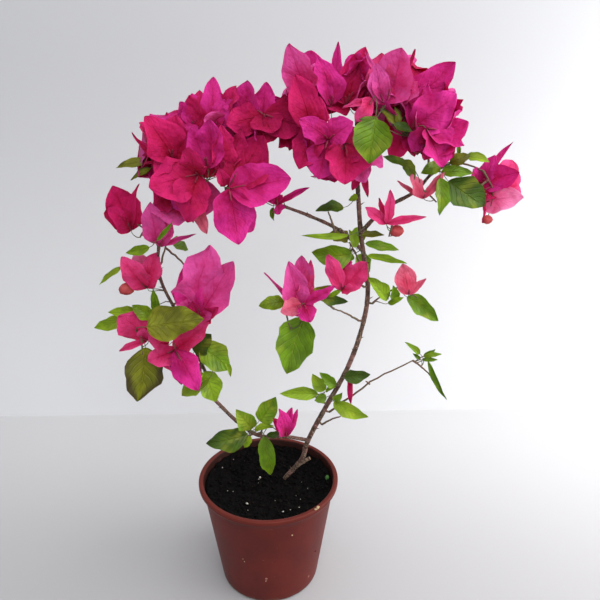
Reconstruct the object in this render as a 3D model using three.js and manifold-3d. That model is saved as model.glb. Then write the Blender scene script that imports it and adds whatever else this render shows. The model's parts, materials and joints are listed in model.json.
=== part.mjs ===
// A young bougainvillea in a round plastic pot, trained as an open fan. Millimetres, +Z up.
// +X is to the right of someone who faces the plant and +Y points away from them. The origin is
// the centre of the pot's underside.
import * as THREE from "three";
import { mergeVertices } from "three/addons/utils/BufferGeometryUtils.js";
import Module from "manifold-3d";

const wasm = await Module();
wasm.setup();

// Pot
const RIM_RADIUS = 75;
const BASE_RADIUS = 53;
const POT_HEIGHT = 125;
const POT_WALL = 1.6;
const LIP_OVERHANG = 3.5;
const LIP_DEPTH = 5;
const LIP_ROUNDING = 0.8;
const BASE_ROUNDING = 4;
const DRAIN_HOLES = 5;
const DRAIN_RADIUS = 4;
const DRAIN_CIRCLE = 36;
const POT_SIDES = 40;

// Compost
const SOIL_LEVEL = 110;

// Clear distance that every piece keeps from what carries it
const GAP = 0.3;

// Limbs: each grows from its parent at a height, or from the parent's tip, through the points of
// its route, and tapers from its foot to its tip.
const LIMB_SIDES = 7;
const STEPS_PER_SPAN = 3;
const FLARE = 2.6;
const FLARE_HEIGHT = 7;
const LIMBS = [
  {
    name: "trunk",
    foot: 3.5,
    tip: 2.5,
    route: [
      [12, 17, 98],
      [18, 13, 112],
      [36, 3, 143],
      [42, -6, 172],
      [57, -14, 212],
      [81, -18, 266],
      [94, -18, 312],
      [97, -18, 350],
      [89, -18, 398],
      [84, -18, 447],
    ],
  },
  {
    name: "left_bough_lower",
    parent: "trunk",
    height: 173,
    foot: 2.3,
    tip: 2.1,
    route: [
      [20, -12, 182],
      [-8, -18, 188],
      [-30, -22, 208],
      [-52, -24, 236],
    ],
  },
  {
    name: "left_bough_upper",
    parent: "left_bough_lower",
    foot: 2.1,
    tip: 1.6,
    route: [
      [-60, -22, 268],
      [-77, -20, 314],
      [-95, -20, 361],
      [-94, -20, 395],
      [-86, -20, 436],
    ],
  },
  {
    name: "arch_bough",
    parent: "trunk",
    height: 384,
    foot: 2.2,
    tip: 1.6,
    route: [
      [70, -23, 405],
      [42, -26, 420],
      [11, -21, 431],
    ],
  },
  {
    name: "right_bough",
    parent: "trunk",
    height: 402,
    foot: 2.3,
    tip: 1.4,
    route: [
      [109, -22, 425],
      [134, -24, 440],
      [149, -23, 456],
      [164, -20, 464],
    ],
  },
];
const STUB = { height: 132, reach: 15, rise: 10, radius: 2.2 };

// Twigs, leaves and flowers
const TWIG_SIDES = 3;
const STEM_RADIUS = 1.7;
const SHOOT_RADIUS = 1.3;
const NECK = 2.5;
const TWIG_RADIUS = 0.85;
const SHOOT_STEPS = 3;
const SHOOT_OVERRUN = 0.5;
const SHORTEST_SHOOT = 6;
const TWIG_CLEARANCE = 1.5;
const TWIG_SAG = 0.12;
const BRACT = { length: 43, width: 0.86, swell: 0.5, point: 0.75, bend: 0.6, cup: 0.12 };
const BRACT_LEAN = 0.9;
const LEAF = { length: 38, width: 0.74, swell: 0.6, point: 0.9, bend: 0.7, cup: 0.25 };
const BLADE_THICKNESS = 0.9;
const BLADE_MIDDLE = 0.42;
const BLADE_RIM = [
  [0.66, 0.28],
  [1, 0.5],
  [0, 1],
  [-1, 0.5],
  [-0.66, 0.28],
];
const BLOOM_SIZES = [0.84, 1.14];
const BLOOM_WOBBLE = 0.4;
const BLOOM_HEART = 0.4;
const LEAF_SIZES = [0.8, 1.2];
const LEAF_FACE = new THREE.Vector3(0, -0.55, 0.8);
const BRACT_ROOT = 3;
const STALK = 6;
const ROOT_PLACES = [0.2, 0.5, 0.8];
const CROWDING = 0.52;
const SMOOTHING = 0.03;
const FLOWER_LENGTH = 13;
const FLOWER_RADIUS = 2.2;
const BRACTS_PER_BLOOM = 3;
const SIZE_STEPS = [1, 0.9, 0.8, 0.7, 0.6, 0.5];
const BLOOM_TRIES = SIZE_STEPS.flatMap((step) =>
  [1, 0.8, 0.6, 0.4].flatMap((outward) => [0, 0.25, 0.5, 0.75].map((twist) => [step, outward, twist])),
);
const GOLDEN_ANGLE = Math.PI * (3 - Math.sqrt(5));
const LIMB_CLEARANCE = 3.5;
const LOBE_REACH = 1.13;
const OUTLOOK = new THREE.Vector3(0, -0.7, 0.3);
const LEAF_STAGGER = 0.35;
const LEAF_STALK = 3;
const LEAF_SPREAD = new THREE.Vector3(1, 1, 0.7);

// The crown. Each mass leaves its limb at a height, or at the limb's tip, and fills its own lobes.
// A lobe is an ellipsoid: centre x, y, z, half-sizes x, y, z, its blooms and its leaves.
const MASSES = [
  {
    name: "upper_left_head",
    limb: "left_bough_upper",
    seed: 3,
    lobes: [
      [-81, -12, 475, 33, 46, 40, 5, 0],
      [-62, -38, 446, 32, 34, 36, 4, 0],
      [-113, -20, 463, 16, 12, 11, 0, 2],
    ],
  },
  {
    name: "arch_head",
    limb: "arch_bough",
    seed: 5,
    lobes: [
      [-20, -42, 443, 28, 34, 41, 4, 0],
      [-34, -12, 492, 38, 46, 40, 5, 0],
      [6, -12, 503, 38, 46, 32, 5, 0],
      [24, -26, 444, 15, 16, 15, 1, 0],
    ],
  },
  {
    name: "top_head",
    limb: "trunk",
    seed: 8,
    lobes: [
      [44, -12, 522, 30, 44, 41, 5, 0],
      [62, -34, 481, 38, 36, 31, 5, 0],
      [80, -12, 524, 32, 44, 38, 5, 0],
      [90, -66, 488, 17, 12, 21, 0, 1],
    ],
  },
  {
    name: "top_right_head",
    limb: "right_bough",
    height: 456,
    seed: 13,
    lobes: [
      [147, -14, 506, 31, 42, 42, 6, 0],
      [117, -12, 522, 32, 44, 40, 5, 0],
      [113, -46, 492, 18, 18, 18, 0, 4],
    ],
  },
  {
    name: "right_end_spray",
    limb: "right_bough",
    seed: 21,
    lobes: [
      [184, -22, 458, 22, 20, 18, 0, 4],
      [212, -20, 453, 25, 28, 30, 4, 0],
      [214, -24, 428, 20, 20, 20, 2, 0],
      [180, -34, 438, 18, 14, 20, 0, 1],
    ],
  },
  {
    name: "right_bough_spray",
    limb: "right_bough",
    height: 444,
    seed: 34,
    lobes: [
      [136, -48, 448, 20, 17, 18, 1, 2],
      [156, -42, 430, 9, 8, 18, 0, 1],
    ],
  },
  {
    name: "fork_right_spray",
    limb: "right_bough",
    height: 416,
    seed: 55,
    lobes: [
      [104, -44, 424, 16, 17, 18, 1, 0],
      [124, -42, 414, 16, 15, 14, 1, 0],
      [110, -30, 393, 21, 18, 14, 0, 3],
    ],
  },
  {
    name: "fork_left_spray",
    limb: "arch_bough",
    height: 408,
    seed: 4,
    lobes: [
      [54, -40, 397, 21, 18, 17, 0, 3],
      [54, -40, 434, 13, 13, 12, 0, 1],
    ],
  },
  {
    name: "mid_left_spray",
    limb: "trunk",
    height: 314,
    seed: 89,
    lobes: [
      [57, -30, 336, 14, 13, 12, 0, 1],
      [30, -34, 357, 25, 26, 30, 3, 0],
      [8, -32, 334, 14, 13, 13, 0, 1],
      [28, -36, 296, 19, 12, 28, 0, 1],
    ],
  },
  {
    name: "mid_bloom_spray",
    limb: "trunk",
    height: 350,
    seed: 7,
    lobes: [
      [73, -38, 366, 20, 18, 20, 1, 0],
    ],
  },
  {
    name: "mid_back_spray",
    limb: "trunk",
    height: 358,
    seed: 12,
    lobes: [[86, 16, 376, 30, 27, 28, 2, 3]],
  },
  {
    name: "mid_right_spray",
    limb: "trunk",
    height: 333,
    seed: 29,
    lobes: [
      [115, -26, 348, 17, 14, 14, 0, 2],
      [136, -28, 358, 16, 17, 19, 1, 0],
      [152, -26, 333, 19, 13, 13, 0, 1],
    ],
  },
  {
    name: "low_right_spray",
    limb: "trunk",
    height: 214,
    seed: 10,
    lobes: [
      [92, -28, 258, 16, 13, 13, 0, 1],
      [152, -30, 283, 24, 17, 14, 0, 4],
      [168, -30, 252, 10, 8, 26, 0, 1],
    ],
  },
  {
    name: "low_left_sprig",
    limb: "trunk",
    height: 222,
    seed: 17,
    lobes: [[36, -28, 247, 25, 17, 18, 0, 4]],
  },
  {
    name: "low_right_sprig",
    limb: "trunk",
    height: 200,
    seed: 20,
    lobes: [[80, -34, 222, 20, 15, 14, 0, 2]],
  },
  {
    name: "low_centre_spray",
    limb: "left_bough_lower",
    height: 189,
    seed: 23,
    lobes: [
      [-2, -26, 212, 22, 19, 19, 0, 4],
      [16, -32, 207, 17, 15, 20, 1, 0],
      [-38, -32, 192, 22, 17, 18, 0, 2],
      [2, -34, 166, 12, 9, 22, 0, 1],
    ],
  },
  {
    name: "left_low_spray",
    limb: "left_bough_upper",
    height: 275,
    seed: 26,
    lobes: [
      [-72, -46, 286, 28, 25, 30, 3, 0],
      [-46, -28, 290, 20, 19, 23, 0, 2],
      [-60, -42, 250, 19, 15, 16, 0, 1],
    ],
  },
  {
    name: "left_low_back_spray",
    limb: "left_bough_upper",
    height: 290,
    seed: 14,
    lobes: [[-62, 14, 302, 28, 25, 28, 1, 3]],
  },
  {
    name: "left_mid_spray",
    limb: "left_bough_upper",
    height: 318,
    seed: 41,
    lobes: [
      [-84, -52, 332, 24, 16, 18, 0, 1],
      [-100, -46, 304, 20, 21, 20, 1, 0],
      [-127, -34, 312, 19, 21, 20, 1, 0],
      [-136, -24, 328, 22, 18, 15, 0, 3],
      [-114, -40, 276, 18, 13, 26, 0, 1],
    ],
  },
  {
    name: "big_bloom_spray",
    limb: "left_bough_upper",
    height: 336,
    seed: 44,
    lobes: [
      [-56, -36, 362, 30, 31, 36, 2, 0],
      [-60, -44, 318, 22, 20, 18, 1, 0],
    ],
  },
  {
    name: "left_side_lower_spray",
    limb: "left_bough_upper",
    height: 362,
    seed: 47,
    lobes: [
      [-116, -24, 376, 20, 22, 20, 1, 0],
      [-138, -20, 362, 18, 14, 16, 0, 2],
    ],
  },
  {
    name: "left_side_back_spray",
    limb: "left_bough_upper",
    height: 370,
    seed: 16,
    lobes: [[-92, 18, 384, 28, 28, 28, 2, 2]],
  },
  {
    name: "left_side_upper_spray",
    limb: "left_bough_upper",
    height: 398,
    seed: 50,
    lobes: [
      [-96, -40, 412, 18, 19, 24, 1, 0],
      [-124, -18, 424, 20, 23, 22, 1, 0],
      [-114, -24, 396, 13, 13, 11, 0, 1],
    ],
  },
];

const material = (color, roughness) =>
  new THREE.MeshStandardMaterial({ color, roughness, metalness: 0 });
const TERRACOTTA = material(0x8a3a2c, 0.5);
const COMPOST = material(0x17120f, 1);
const BARK = material(0x6b4f41, 0.85);
const BLOSSOM = material(0xd41e74, 0.65);
const FOLIAGE = material(0x6d9a2b, 0.6);

// Solids

function solidOf(geometry) {
  const bare = new THREE.BufferGeometry();
  const flat = geometry.index ? geometry.toNonIndexed() : geometry;
  bare.setAttribute("position", flat.getAttribute("position"));
  const merged = mergeVertices(bare, 1e-4);
  const made = (triVerts) =>
    new wasm.Manifold(
      new wasm.Mesh({ numProp: 3, vertProperties: merged.attributes.position.array, triVerts }),
    );
  const solid = made(new Uint32Array(merged.index.array));
  return solid.volume() > 0 ? solid : made(new Uint32Array(merged.index.array).reverse());
}

function polyhedron(points, faces) {
  const geometry = new THREE.BufferGeometry();
  const places = new Float32Array(points.flatMap((p) => [p.x, p.y, p.z]));
  geometry.setAttribute("position", new THREE.BufferAttribute(places, 3));
  geometry.setIndex(faces.flat());
  return solidOf(geometry);
}

// The largest piece of a solid. Sealed hollows and loose scraps are the others.
function largest(solid) {
  const pieces = solid.decompose();
  return pieces.reduce((best, piece) => (piece.volume() > best.volume() ? piece : best));
}

function meshOf(name, solid, finish) {
  const { vertProperties, triVerts } = solid.getMesh();
  const geometry = new THREE.BufferGeometry();
  geometry.setAttribute("position", new THREE.BufferAttribute(vertProperties, 3));
  geometry.setIndex(new THREE.BufferAttribute(triVerts, 1));
  const mesh = new THREE.Mesh(geometry, finish);
  mesh.name = name;
  return mesh;
}

// A ring of points square to a direction. Its first point lies to the given side.
function ringAt(centre, along, side, radius, sides) {
  const third = along.clone().cross(side);
  return Array.from({ length: sides }, (_, k) => {
    const angle = (2 * Math.PI * k) / sides;
    return centre
      .clone()
      .addScaledVector(side, radius * Math.cos(angle))
      .addScaledVector(third, radius * Math.sin(angle));
  });
}

// The faces of the tube between two rings, given as the numbers of their first points.
function ringFaces(first, second, sides) {
  return Array.from({ length: sides }, (_, k) => {
    const next = (k + 1) % sides;
    return [
      [first + k, first + next, second + next],
      [first + k, second + next, second + k],
    ];
  }).flat();
}

const square = (vector, along) => vector.clone().addScaledVector(along, -vector.dot(along)).normalize();

// A closed tapering tube through the points, with a radius at each.
function tube(line, radii, sides) {
  const points = [];
  const faces = [];
  let side;
  line.forEach((point, i) => {
    const along = line[Math.min(i + 1, line.length - 1)].clone().sub(line[Math.max(i - 1, 0)]).normalize();
    side = side ? square(side, along) : sideways(along);
    points.push(...ringAt(point, along, side, radii[i], sides));
    if (i > 0) faces.push(...ringFaces((i - 1) * sides, i * sides, sides));
  });
  const last = points.length - sides;
  for (let k = 1; k < sides - 1; k += 1) {
    faces.push([0, k + 1, k], [last, last + k, last + k + 1]);
  }
  return polyhedron(points, faces);
}

// A unit vector square to the given one, as near to level as it can be.
function sideways(along) {
  const up = Math.abs(along.z) < 0.9 ? new THREE.Vector3(0, 0, 1) : new THREE.Vector3(0, 1, 0);
  return up.cross(along).normalize();
}

// Pot and compost

const wallRadius = (height, inset) =>
  BASE_RADIUS - inset + ((RIM_RADIUS - LIP_OVERHANG - BASE_RADIUS) * height) / POT_HEIGHT;

function turned(profile) {
  const points = profile.map(([radius, height]) => new THREE.Vector2(radius, height));
  return solidOf(new THREE.LatheGeometry(points, POT_SIDES).rotateX(Math.PI / 2));
}

function potSolid() {
  const shell = turned([
    [0, 0],
    [BASE_RADIUS - BASE_ROUNDING, 0],
    [BASE_RADIUS - 0.3 * BASE_ROUNDING, 0.3 * BASE_ROUNDING],
    [wallRadius(BASE_ROUNDING, 0), BASE_ROUNDING],
    [wallRadius(POT_HEIGHT - LIP_DEPTH - LIP_ROUNDING, 0), POT_HEIGHT - LIP_DEPTH - LIP_ROUNDING],
    [RIM_RADIUS - LIP_ROUNDING, POT_HEIGHT - LIP_DEPTH],
    [RIM_RADIUS, POT_HEIGHT - LIP_DEPTH / 2],
    [RIM_RADIUS - LIP_ROUNDING, POT_HEIGHT - LIP_ROUNDING / 2],
    [RIM_RADIUS - 2 * LIP_ROUNDING, POT_HEIGHT],
    [wallRadius(POT_HEIGHT, POT_WALL), POT_HEIGHT - LIP_ROUNDING],
    [wallRadius(POT_WALL, POT_WALL), POT_WALL],
    [0, POT_WALL],
  ]);
  let pot = shell;
  for (let i = 0; i < DRAIN_HOLES; i += 1) {
    const angle = (2 * Math.PI * i) / DRAIN_HOLES;
    const drill = new THREE.CylinderGeometry(DRAIN_RADIUS, DRAIN_RADIUS, 4 * POT_WALL, 8)
      .rotateX(Math.PI / 2)
      .translate(DRAIN_CIRCLE * Math.cos(angle), DRAIN_CIRCLE * Math.sin(angle), 0);
    pot = pot.subtract(solidOf(drill));
  }
  return pot;
}

function soilSolid() {
  const floor = POT_WALL + GAP;
  const inset = POT_WALL + GAP + 0.1;
  return turned([
    [0, floor],
    [wallRadius(floor, inset), floor],
    [wallRadius(SOIL_LEVEL, inset), SOIL_LEVEL],
    [0, SOIL_LEVEL],
  ]);
}

// Limbs

// Points along a smooth line through the given ones.
function smoothLine(points) {
  const line = [];
  const mirrored = (point, through) => through.clone().multiplyScalar(2).sub(point);
  for (let i = 0; i < points.length - 1; i += 1) {
    const [start, end] = [points[i], points[i + 1]];
    const before = points[i - 1] ?? mirrored(end, start);
    const beyond = points[i + 2] ?? mirrored(start, end);
    const slopeIn = end.clone().sub(before).multiplyScalar(0.5);
    const slopeOut = beyond.clone().sub(start).multiplyScalar(0.5);
    for (let k = 0; k < STEPS_PER_SPAN; k += 1) {
      const t = k / STEPS_PER_SPAN;
      const [t2, t3] = [t * t, t * t * t];
      line.push(
        start
          .clone()
          .multiplyScalar(2 * t3 - 3 * t2 + 1)
          .addScaledVector(slopeIn, t3 - 2 * t2 + t)
          .addScaledVector(end, 3 * t2 - 2 * t3)
          .addScaledVector(slopeOut, t3 - t2),
      );
    }
  }
  line.push(points[points.length - 1].clone());
  return line;
}

// The point, radius and direction of a grown limb where it reaches a height, or at its tip.
function placeOn({ line, radii }, height) {
  const found = line.findIndex((point) => point.z >= height);
  const i = found > 0 ? found : line.length - 1;
  const share = height === undefined ? 1 : (height - line[i - 1].z) / (line[i].z - line[i - 1].z);
  return {
    point: line[i - 1].clone().lerp(line[i], share),
    radius: THREE.MathUtils.lerp(radii[i - 1], radii[i], share),
    along: line[i].clone().sub(line[i - 1]).normalize(),
  };
}

const limbs = new Map();

function growLimb({ name, parent, height, foot, tip, route }) {
  const points = route.map((place) => new THREE.Vector3(...place));
  if (parent) points.unshift(placeOn(limbs.get(parent), height).point.clone());
  const line = smoothLine(points);
  const radii = line.map((point, i) => {
    const radius = THREE.MathUtils.lerp(foot, tip, i / (line.length - 1));
    return parent ? radius : radius + FLARE * Math.exp(-Math.max(point.z - SOIL_LEVEL, 0) / FLARE_HEIGHT);
  });
  limbs.set(name, { line, radii });
}

// A limb as a solid, fatter by the given clearance and longer by it at both ends.
function limbSolid({ line, radii }, clearance) {
  const spread = clearance / Math.cos(Math.PI / LIMB_SIDES);
  const [first, last] = [line[0], line[line.length - 1]];
  const reach = (end, inner) => end.clone().addScaledVector(end.clone().sub(inner).normalize(), clearance);
  const points = [reach(first, line[1]), ...line.slice(1, -1), reach(last, line[line.length - 2])];
  return tube(
    points,
    radii.map((radius) => radius + spread),
    LIMB_SIDES,
  );
}

function trunkSolid(trunk) {
  const { point, radius } = placeOn(trunk, STUB.height);
  const end = point.clone().add(new THREE.Vector3(STUB.reach, 0, STUB.rise));
  const stub = tube([point, end], [radius, STUB.radius], LIMB_SIDES);
  const below = new THREE.BoxGeometry(200, 200, 200).translate(0, 0, SOIL_LEVEL + GAP - 100);
  return largest(limbSolid(trunk, 0).add(stub).subtract(solidOf(below)));
}

// Leaves and bracts

// A repeatable run of numbers from 0 to 1.
function seeded(seed) {
  let state = seed * 7919;
  return () => {
    state = (state * 1664525 + 1013904223) % 4294967296;
    return state / 4294967296;
  };
}

// A point on a blade: v runs from its base to its tip, and u from one edge to the other. The
// blade arches evenly over the chord that its direction gives.
function onBlade(blade, u, v) {
  const { base, along, normal, length, kind } = blade;
  const across = along.clone().cross(normal);
  const peak = kind.swell / (kind.swell + kind.point);
  const outline = (x) => Math.pow(x, kind.swell) * Math.pow(1 - x, kind.point);
  const half = (length * kind.width * outline(v)) / outline(peak) / 2;
  const [rise, turn] = [kind.bend / 2, kind.bend * (0.5 - v)];
  const forward = (length * (Math.sin(rise) - Math.sin(turn))) / kind.bend;
  const height = (length * (Math.cos(turn) - Math.cos(rise))) / kind.bend;
  return base
    .clone()
    .addScaledVector(along, forward)
    .addScaledVector(across, u * half)
    .addScaledVector(normal, height + kind.cup * half * u * u);
}

// Adds a blade to a growing solid. Its root is an open loop of that solid: the two ends of the
// upper edge and, from the same side, the points of the lower one.
function growBlade(points, faces, blade, upper, lower) {
  const rim = BLADE_RIM.map((_, i) => points.length + i);
  const [over, under] = [points.length + rim.length, points.length + rim.length + 1];
  const middle = onBlade(blade, 0, BLADE_MIDDLE);
  const half = blade.normal.clone().multiplyScalar(BLADE_THICKNESS / 2);
  points.push(...BLADE_RIM.map(([u, v]) => onBlade(blade, u, v)));
  points.push(middle.clone().add(half), middle.clone().sub(half));
  const fan = (loop, centre) => loop.slice(1).map((next, i) => [loop[i], next, centre]);
  const end = lower[lower.length - 1];
  faces.push(...fan([upper[0], ...rim, upper[1], upper[0]], over));
  faces.push(...fan([end, ...rim.toReversed(), ...lower], under));
  if (upper[0] === lower[0]) return;
  faces.push([lower[0], rim[0], upper[0]], [upper[1], rim[rim.length - 1], end]);
}

const PROBES = [
  [0, 0.3],
  [0, 0.5],
  [0, 0.75],
  [0, 1],
  [-1, 0.25],
  [-1, 0.6],
  [1, 0.25],
  [1, 0.6],
];
const probesOf = (blade) => PROBES.map(([u, v]) => onBlade(blade, u, v));

// Lobes of the crown

function lobeOf([x, y, z, rx, ry, rz, blooms, leaves]) {
  return {
    centre: new THREE.Vector3(x, y, z),
    size: new THREE.Vector3(rx, ry, rz),
    blooms,
    leaves,
    alone: blooms === 0 && leaves === 1,
  };
}

// The widest reach of a lobe from its centre along a direction that has length 1, and the
// distance at which that direction leaves it.
const reachOf = (lobe, direction) => direction.clone().multiply(lobe.size).length();
const edgeOf = (lobe, direction) => 1 / direction.clone().divide(lobe.size).length();

// The planes that part a lobe from the lobes of other masses.
function wallsOf(lobe, others) {
  return others.map((other) => {
    const direction = other.centre.clone().sub(lobe.centre);
    const distance = direction.length();
    direction.divideScalar(distance);
    const own = reachOf(lobe, direction);
    const share = own / (own + reachOf(other, direction));
    return { direction, limit: distance * share - GAP };
  });
}

function inLobe(lobe, point) {
  const offset = point.clone().sub(lobe.centre);
  if (offset.clone().divide(lobe.size).length() > LOBE_REACH) return false;
  return lobe.walls.every(({ direction, limit }) => offset.dot(direction) < limit);
}

const clearOfLimbs = (point, clearance) =>
  [...limbs.values()].every(({ line, radii }) =>
    line.slice(1).every((end, i) => {
      const start = line[i];
      const span = end.clone().sub(start);
      const share = THREE.MathUtils.clamp(point.clone().sub(start).dot(span) / span.lengthSq(), 0, 1);
      return start.clone().addScaledVector(span, share).distanceTo(point) > radii[i] + clearance;
    }),
  );

const fits = (lobe, blade) =>
  probesOf(blade).every((point) => inLobe(lobe, point) && clearOfLimbs(point, LIMB_CLEARANCE));

// The points of a stalk before its end, or nothing where no shoot lies well for it. It leaves a
// near shoot from behind, and bends where it has to in order to lead on into what it bears.
function stalkTo(shoots, end, ahead) {
  const heel = end.clone().addScaledVector(ahead, -STALK);
  const turnOf = (root) => heel.clone().sub(root).normalize().dot(ahead);
  const cost = (root) => root.distanceTo(heel) * (1.6 - turnOf(root));
  const spansOf = (line) => line.slice(1).map((next, i) => [line[i], next]);
  const root = shoots
    .flatMap(spansOf)
    .flatMap(([from, to]) => ROOT_PLACES.map((share) => from.clone().lerp(to, share)))
    .reduce((best, point) => (cost(point) < cost(best) ? point : best));
  const distance = root.distanceTo(heel);
  const rise = end.clone().sub(root);
  if (rise.length() > STALK / 2 && rise.normalize().dot(ahead) > 0.75) return [root];
  return distance > STALK / 2 && turnOf(root) > 0 ? [root, heel] : undefined;
}

const stalkClear = (stalk, end) =>
  stalk !== undefined &&
  [...stalk.slice(1), end].every((point) => clearOfLimbs(point, TWIG_CLEARANCE)) &&
  clearOfLimbs(stalk[0].clone().lerp(stalk[1] ?? end, 0.6), TWIG_CLEARANCE);

// Even directions over a sphere, one for each of a count.
function spiralDirection(i, count, turn) {
  const level = 1 - (2 * (i + 0.5)) / count;
  const radius = Math.sqrt(1 - level * level);
  const angle = i * GOLDEN_ANGLE + turn;
  return new THREE.Vector3(radius * Math.cos(angle), radius * Math.sin(angle), level);
}

// A twig from one point to another that bows a little upwards.
function twigLine(start, end, steps) {
  const bow = start.distanceTo(end) * TWIG_SAG;
  const line = [];
  for (let i = 0; i <= steps; i += 1) {
    const t = i / steps;
    const point = start.clone().lerp(end, t);
    point.z += bow * 4 * t * (1 - t);
    line.push(point);
  }
  return line;
}

function twigSolid(line, radius) {
  const radii = line.map((_, i) => radius * (1 - (0.25 * i) / (line.length - 1)));
  return tube(line, radii, TWIG_SIDES);
}

// The point of some lines that lies nearest to a place.
function nearestOn(lines, place) {
  let best = lines[0][0];
  for (const line of lines) {
    for (let i = 1; i < line.length; i += 1) {
      const span = new THREE.Line3(line[i - 1], line[i]);
      const point = span.closestPointToPoint(place, true, new THREE.Vector3());
      if (point.distanceTo(place) < best.distanceTo(place)) best = point;
    }
  }
  return best;
}

// Three bracts around the axis of a bloom.
function bractsOf(base, axis, spin, length) {
  const side = sideways(axis);
  const other = axis.clone().cross(side);
  const [ahead, apart] = [Math.cos(BRACT_LEAN), Math.sin(BRACT_LEAN)];
  return Array.from({ length: BRACTS_PER_BLOOM }, (_, k) => {
    const angle = spin + (2 * Math.PI * k) / BRACTS_PER_BLOOM;
    const outward = side
      .clone()
      .multiplyScalar(Math.cos(angle))
      .addScaledVector(other, Math.sin(angle));
    const along = axis.clone().multiplyScalar(ahead).addScaledVector(outward, apart);
    const normal = axis.clone().multiplyScalar(apart).addScaledVector(outward, -ahead);
    return { base: base.clone(), along, normal, length, kind: BRACT };
  });
}

// The first rings of a stalk that ends square to the given direction, worked back from its end.
function stalkRings(stalk, end, ahead, side) {
  const rings = [];
  let [next, turned] = [end, side];
  for (let i = stalk.length - 1; i >= 0; i -= 1) {
    const along = next.clone().sub(i > 0 ? stalk[i - 1] : stalk[i]).normalize();
    turned = square(turned, along);
    rings.unshift(...ringAt(stalk[i], along, turned, TWIG_RADIUS, TWIG_SIDES));
    next = stalk[i];
  }
  return rings;
}

function stalkFaces(rings) {
  const faces = [[0, 2, 1]];
  for (let i = 1; i < rings; i += 1) {
    faces.push(...ringFaces((i - 1) * TWIG_SIDES, i * TWIG_SIDES, TWIG_SIDES));
  }
  return faces;
}

// One bloom: a stalk, three bracts and the small flower that stands between them.
function bloomSolid(stalk, base, axis, bracts) {
  const side = square(bracts[1].along, axis).negate();
  const collar = base.clone().addScaledVector(axis, BRACT_ROOT);
  const points = [
    ...stalkRings(stalk, base, axis, side),
    ...ringAt(base, axis, side, FLOWER_RADIUS * 0.7, TWIG_SIDES),
    ...ringAt(collar, axis, side, FLOWER_RADIUS, TWIG_SIDES),
    base.clone().addScaledVector(axis, FLOWER_LENGTH),
  ];
  const low = stalk.length * TWIG_SIDES;
  const high = low + TWIG_SIDES;
  const peak = high + TWIG_SIDES;
  const faces = stalkFaces(stalk.length + 1);
  bracts.forEach((bract, k) => {
    const next = (k + 1) % BRACTS_PER_BLOOM;
    faces.push([high + k, high + next, peak]);
    growBlade(points, faces, bract, [high + k, high + next], [low + k, low + next]);
  });
  return polyhedron(points, faces);
}

// One leaf on its stalk.
function leafSolid(stalk, leaf) {
  const side = leaf.normal.clone().negate();
  const points = [
    ...stalkRings(stalk, leaf.base, leaf.along, side),
    ...ringAt(leaf.base, leaf.along, side, TWIG_RADIUS, TWIG_SIDES),
  ];
  const [under, right, left] = [0, 1, 2].map((k) => stalk.length * TWIG_SIDES + k);
  const faces = stalkFaces(stalk.length + 1);
  growBlade(points, faces, leaf, [left, right], [left, under, right]);
  return polyhedron(points, faces);
}

// Blooms spread over a lobe, each as large as the lobe lets it be.
function bloomsOf(lobe, shoots, placed, random) {
  const turn = random() * 2 * Math.PI;
  const smallest = Math.min(...lobe.size.toArray());
  const away = lobe.centre.clone().sub(lobe.anchor).normalize();
  const solids = [];
  for (let i = 0; i < lobe.blooms; i += 1) {
    const [wobbleX, wobbleY, wobbleZ, spin, size] = [random(), random(), random(), random(), random()];
    const wobble = new THREE.Vector3(wobbleX - 0.5, wobbleY - 0.5, wobbleZ - 0.3);
    const single = lobe.blooms === 1;
    const spiral = spiralDirection(i, lobe.blooms, turn);
    const face = single ? away.clone().add(OUTLOOK) : spiral.clone().divide(lobe.size);
    const axis = face.normalize().addScaledVector(wobble, BLOOM_WOBBLE).normalize();
    const direction = single ? axis : spiral;
    const wanted = BRACT.length * THREE.MathUtils.lerp(...BLOOM_SIZES, size);
    const full = Math.min(wanted, smallest / Math.sin(BRACT_LEAN));
    for (const [step, outward, twist] of BLOOM_TRIES) {
      const length = full * step;
      const spread = length * Math.sin(BRACT_LEAN);
      const sag = smallest - Math.sqrt(Math.max(smallest ** 2 - spread ** 2, 0));
      const base = lobe.centre
        .clone()
        .addScaledVector(direction.clone().multiply(lobe.size), outward)
        .addScaledVector(axis, -sag - length * Math.cos(BRACT_LEAN));
      const bracts = bractsOf(base, axis, ((spin + twist) * 2 * Math.PI) / BRACTS_PER_BLOOM, length);
      if (!bracts.every((bract) => fits(lobe, bract))) continue;
      const heart = base.clone().addScaledVector(axis, length * BLOOM_HEART);
      const room = spread * CROWDING;
      if (placed.some((other) => other.heart.distanceTo(heart) < room + other.room)) continue;
      const stalk = stalkTo(shoots, base, axis);
      if (!stalkClear(stalk, base)) continue;
      placed.push({ heart, room });
      solids.push(bloomSolid(stalk, base, axis, bracts));
      break;
    }
  }
  return solids;
}

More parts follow.
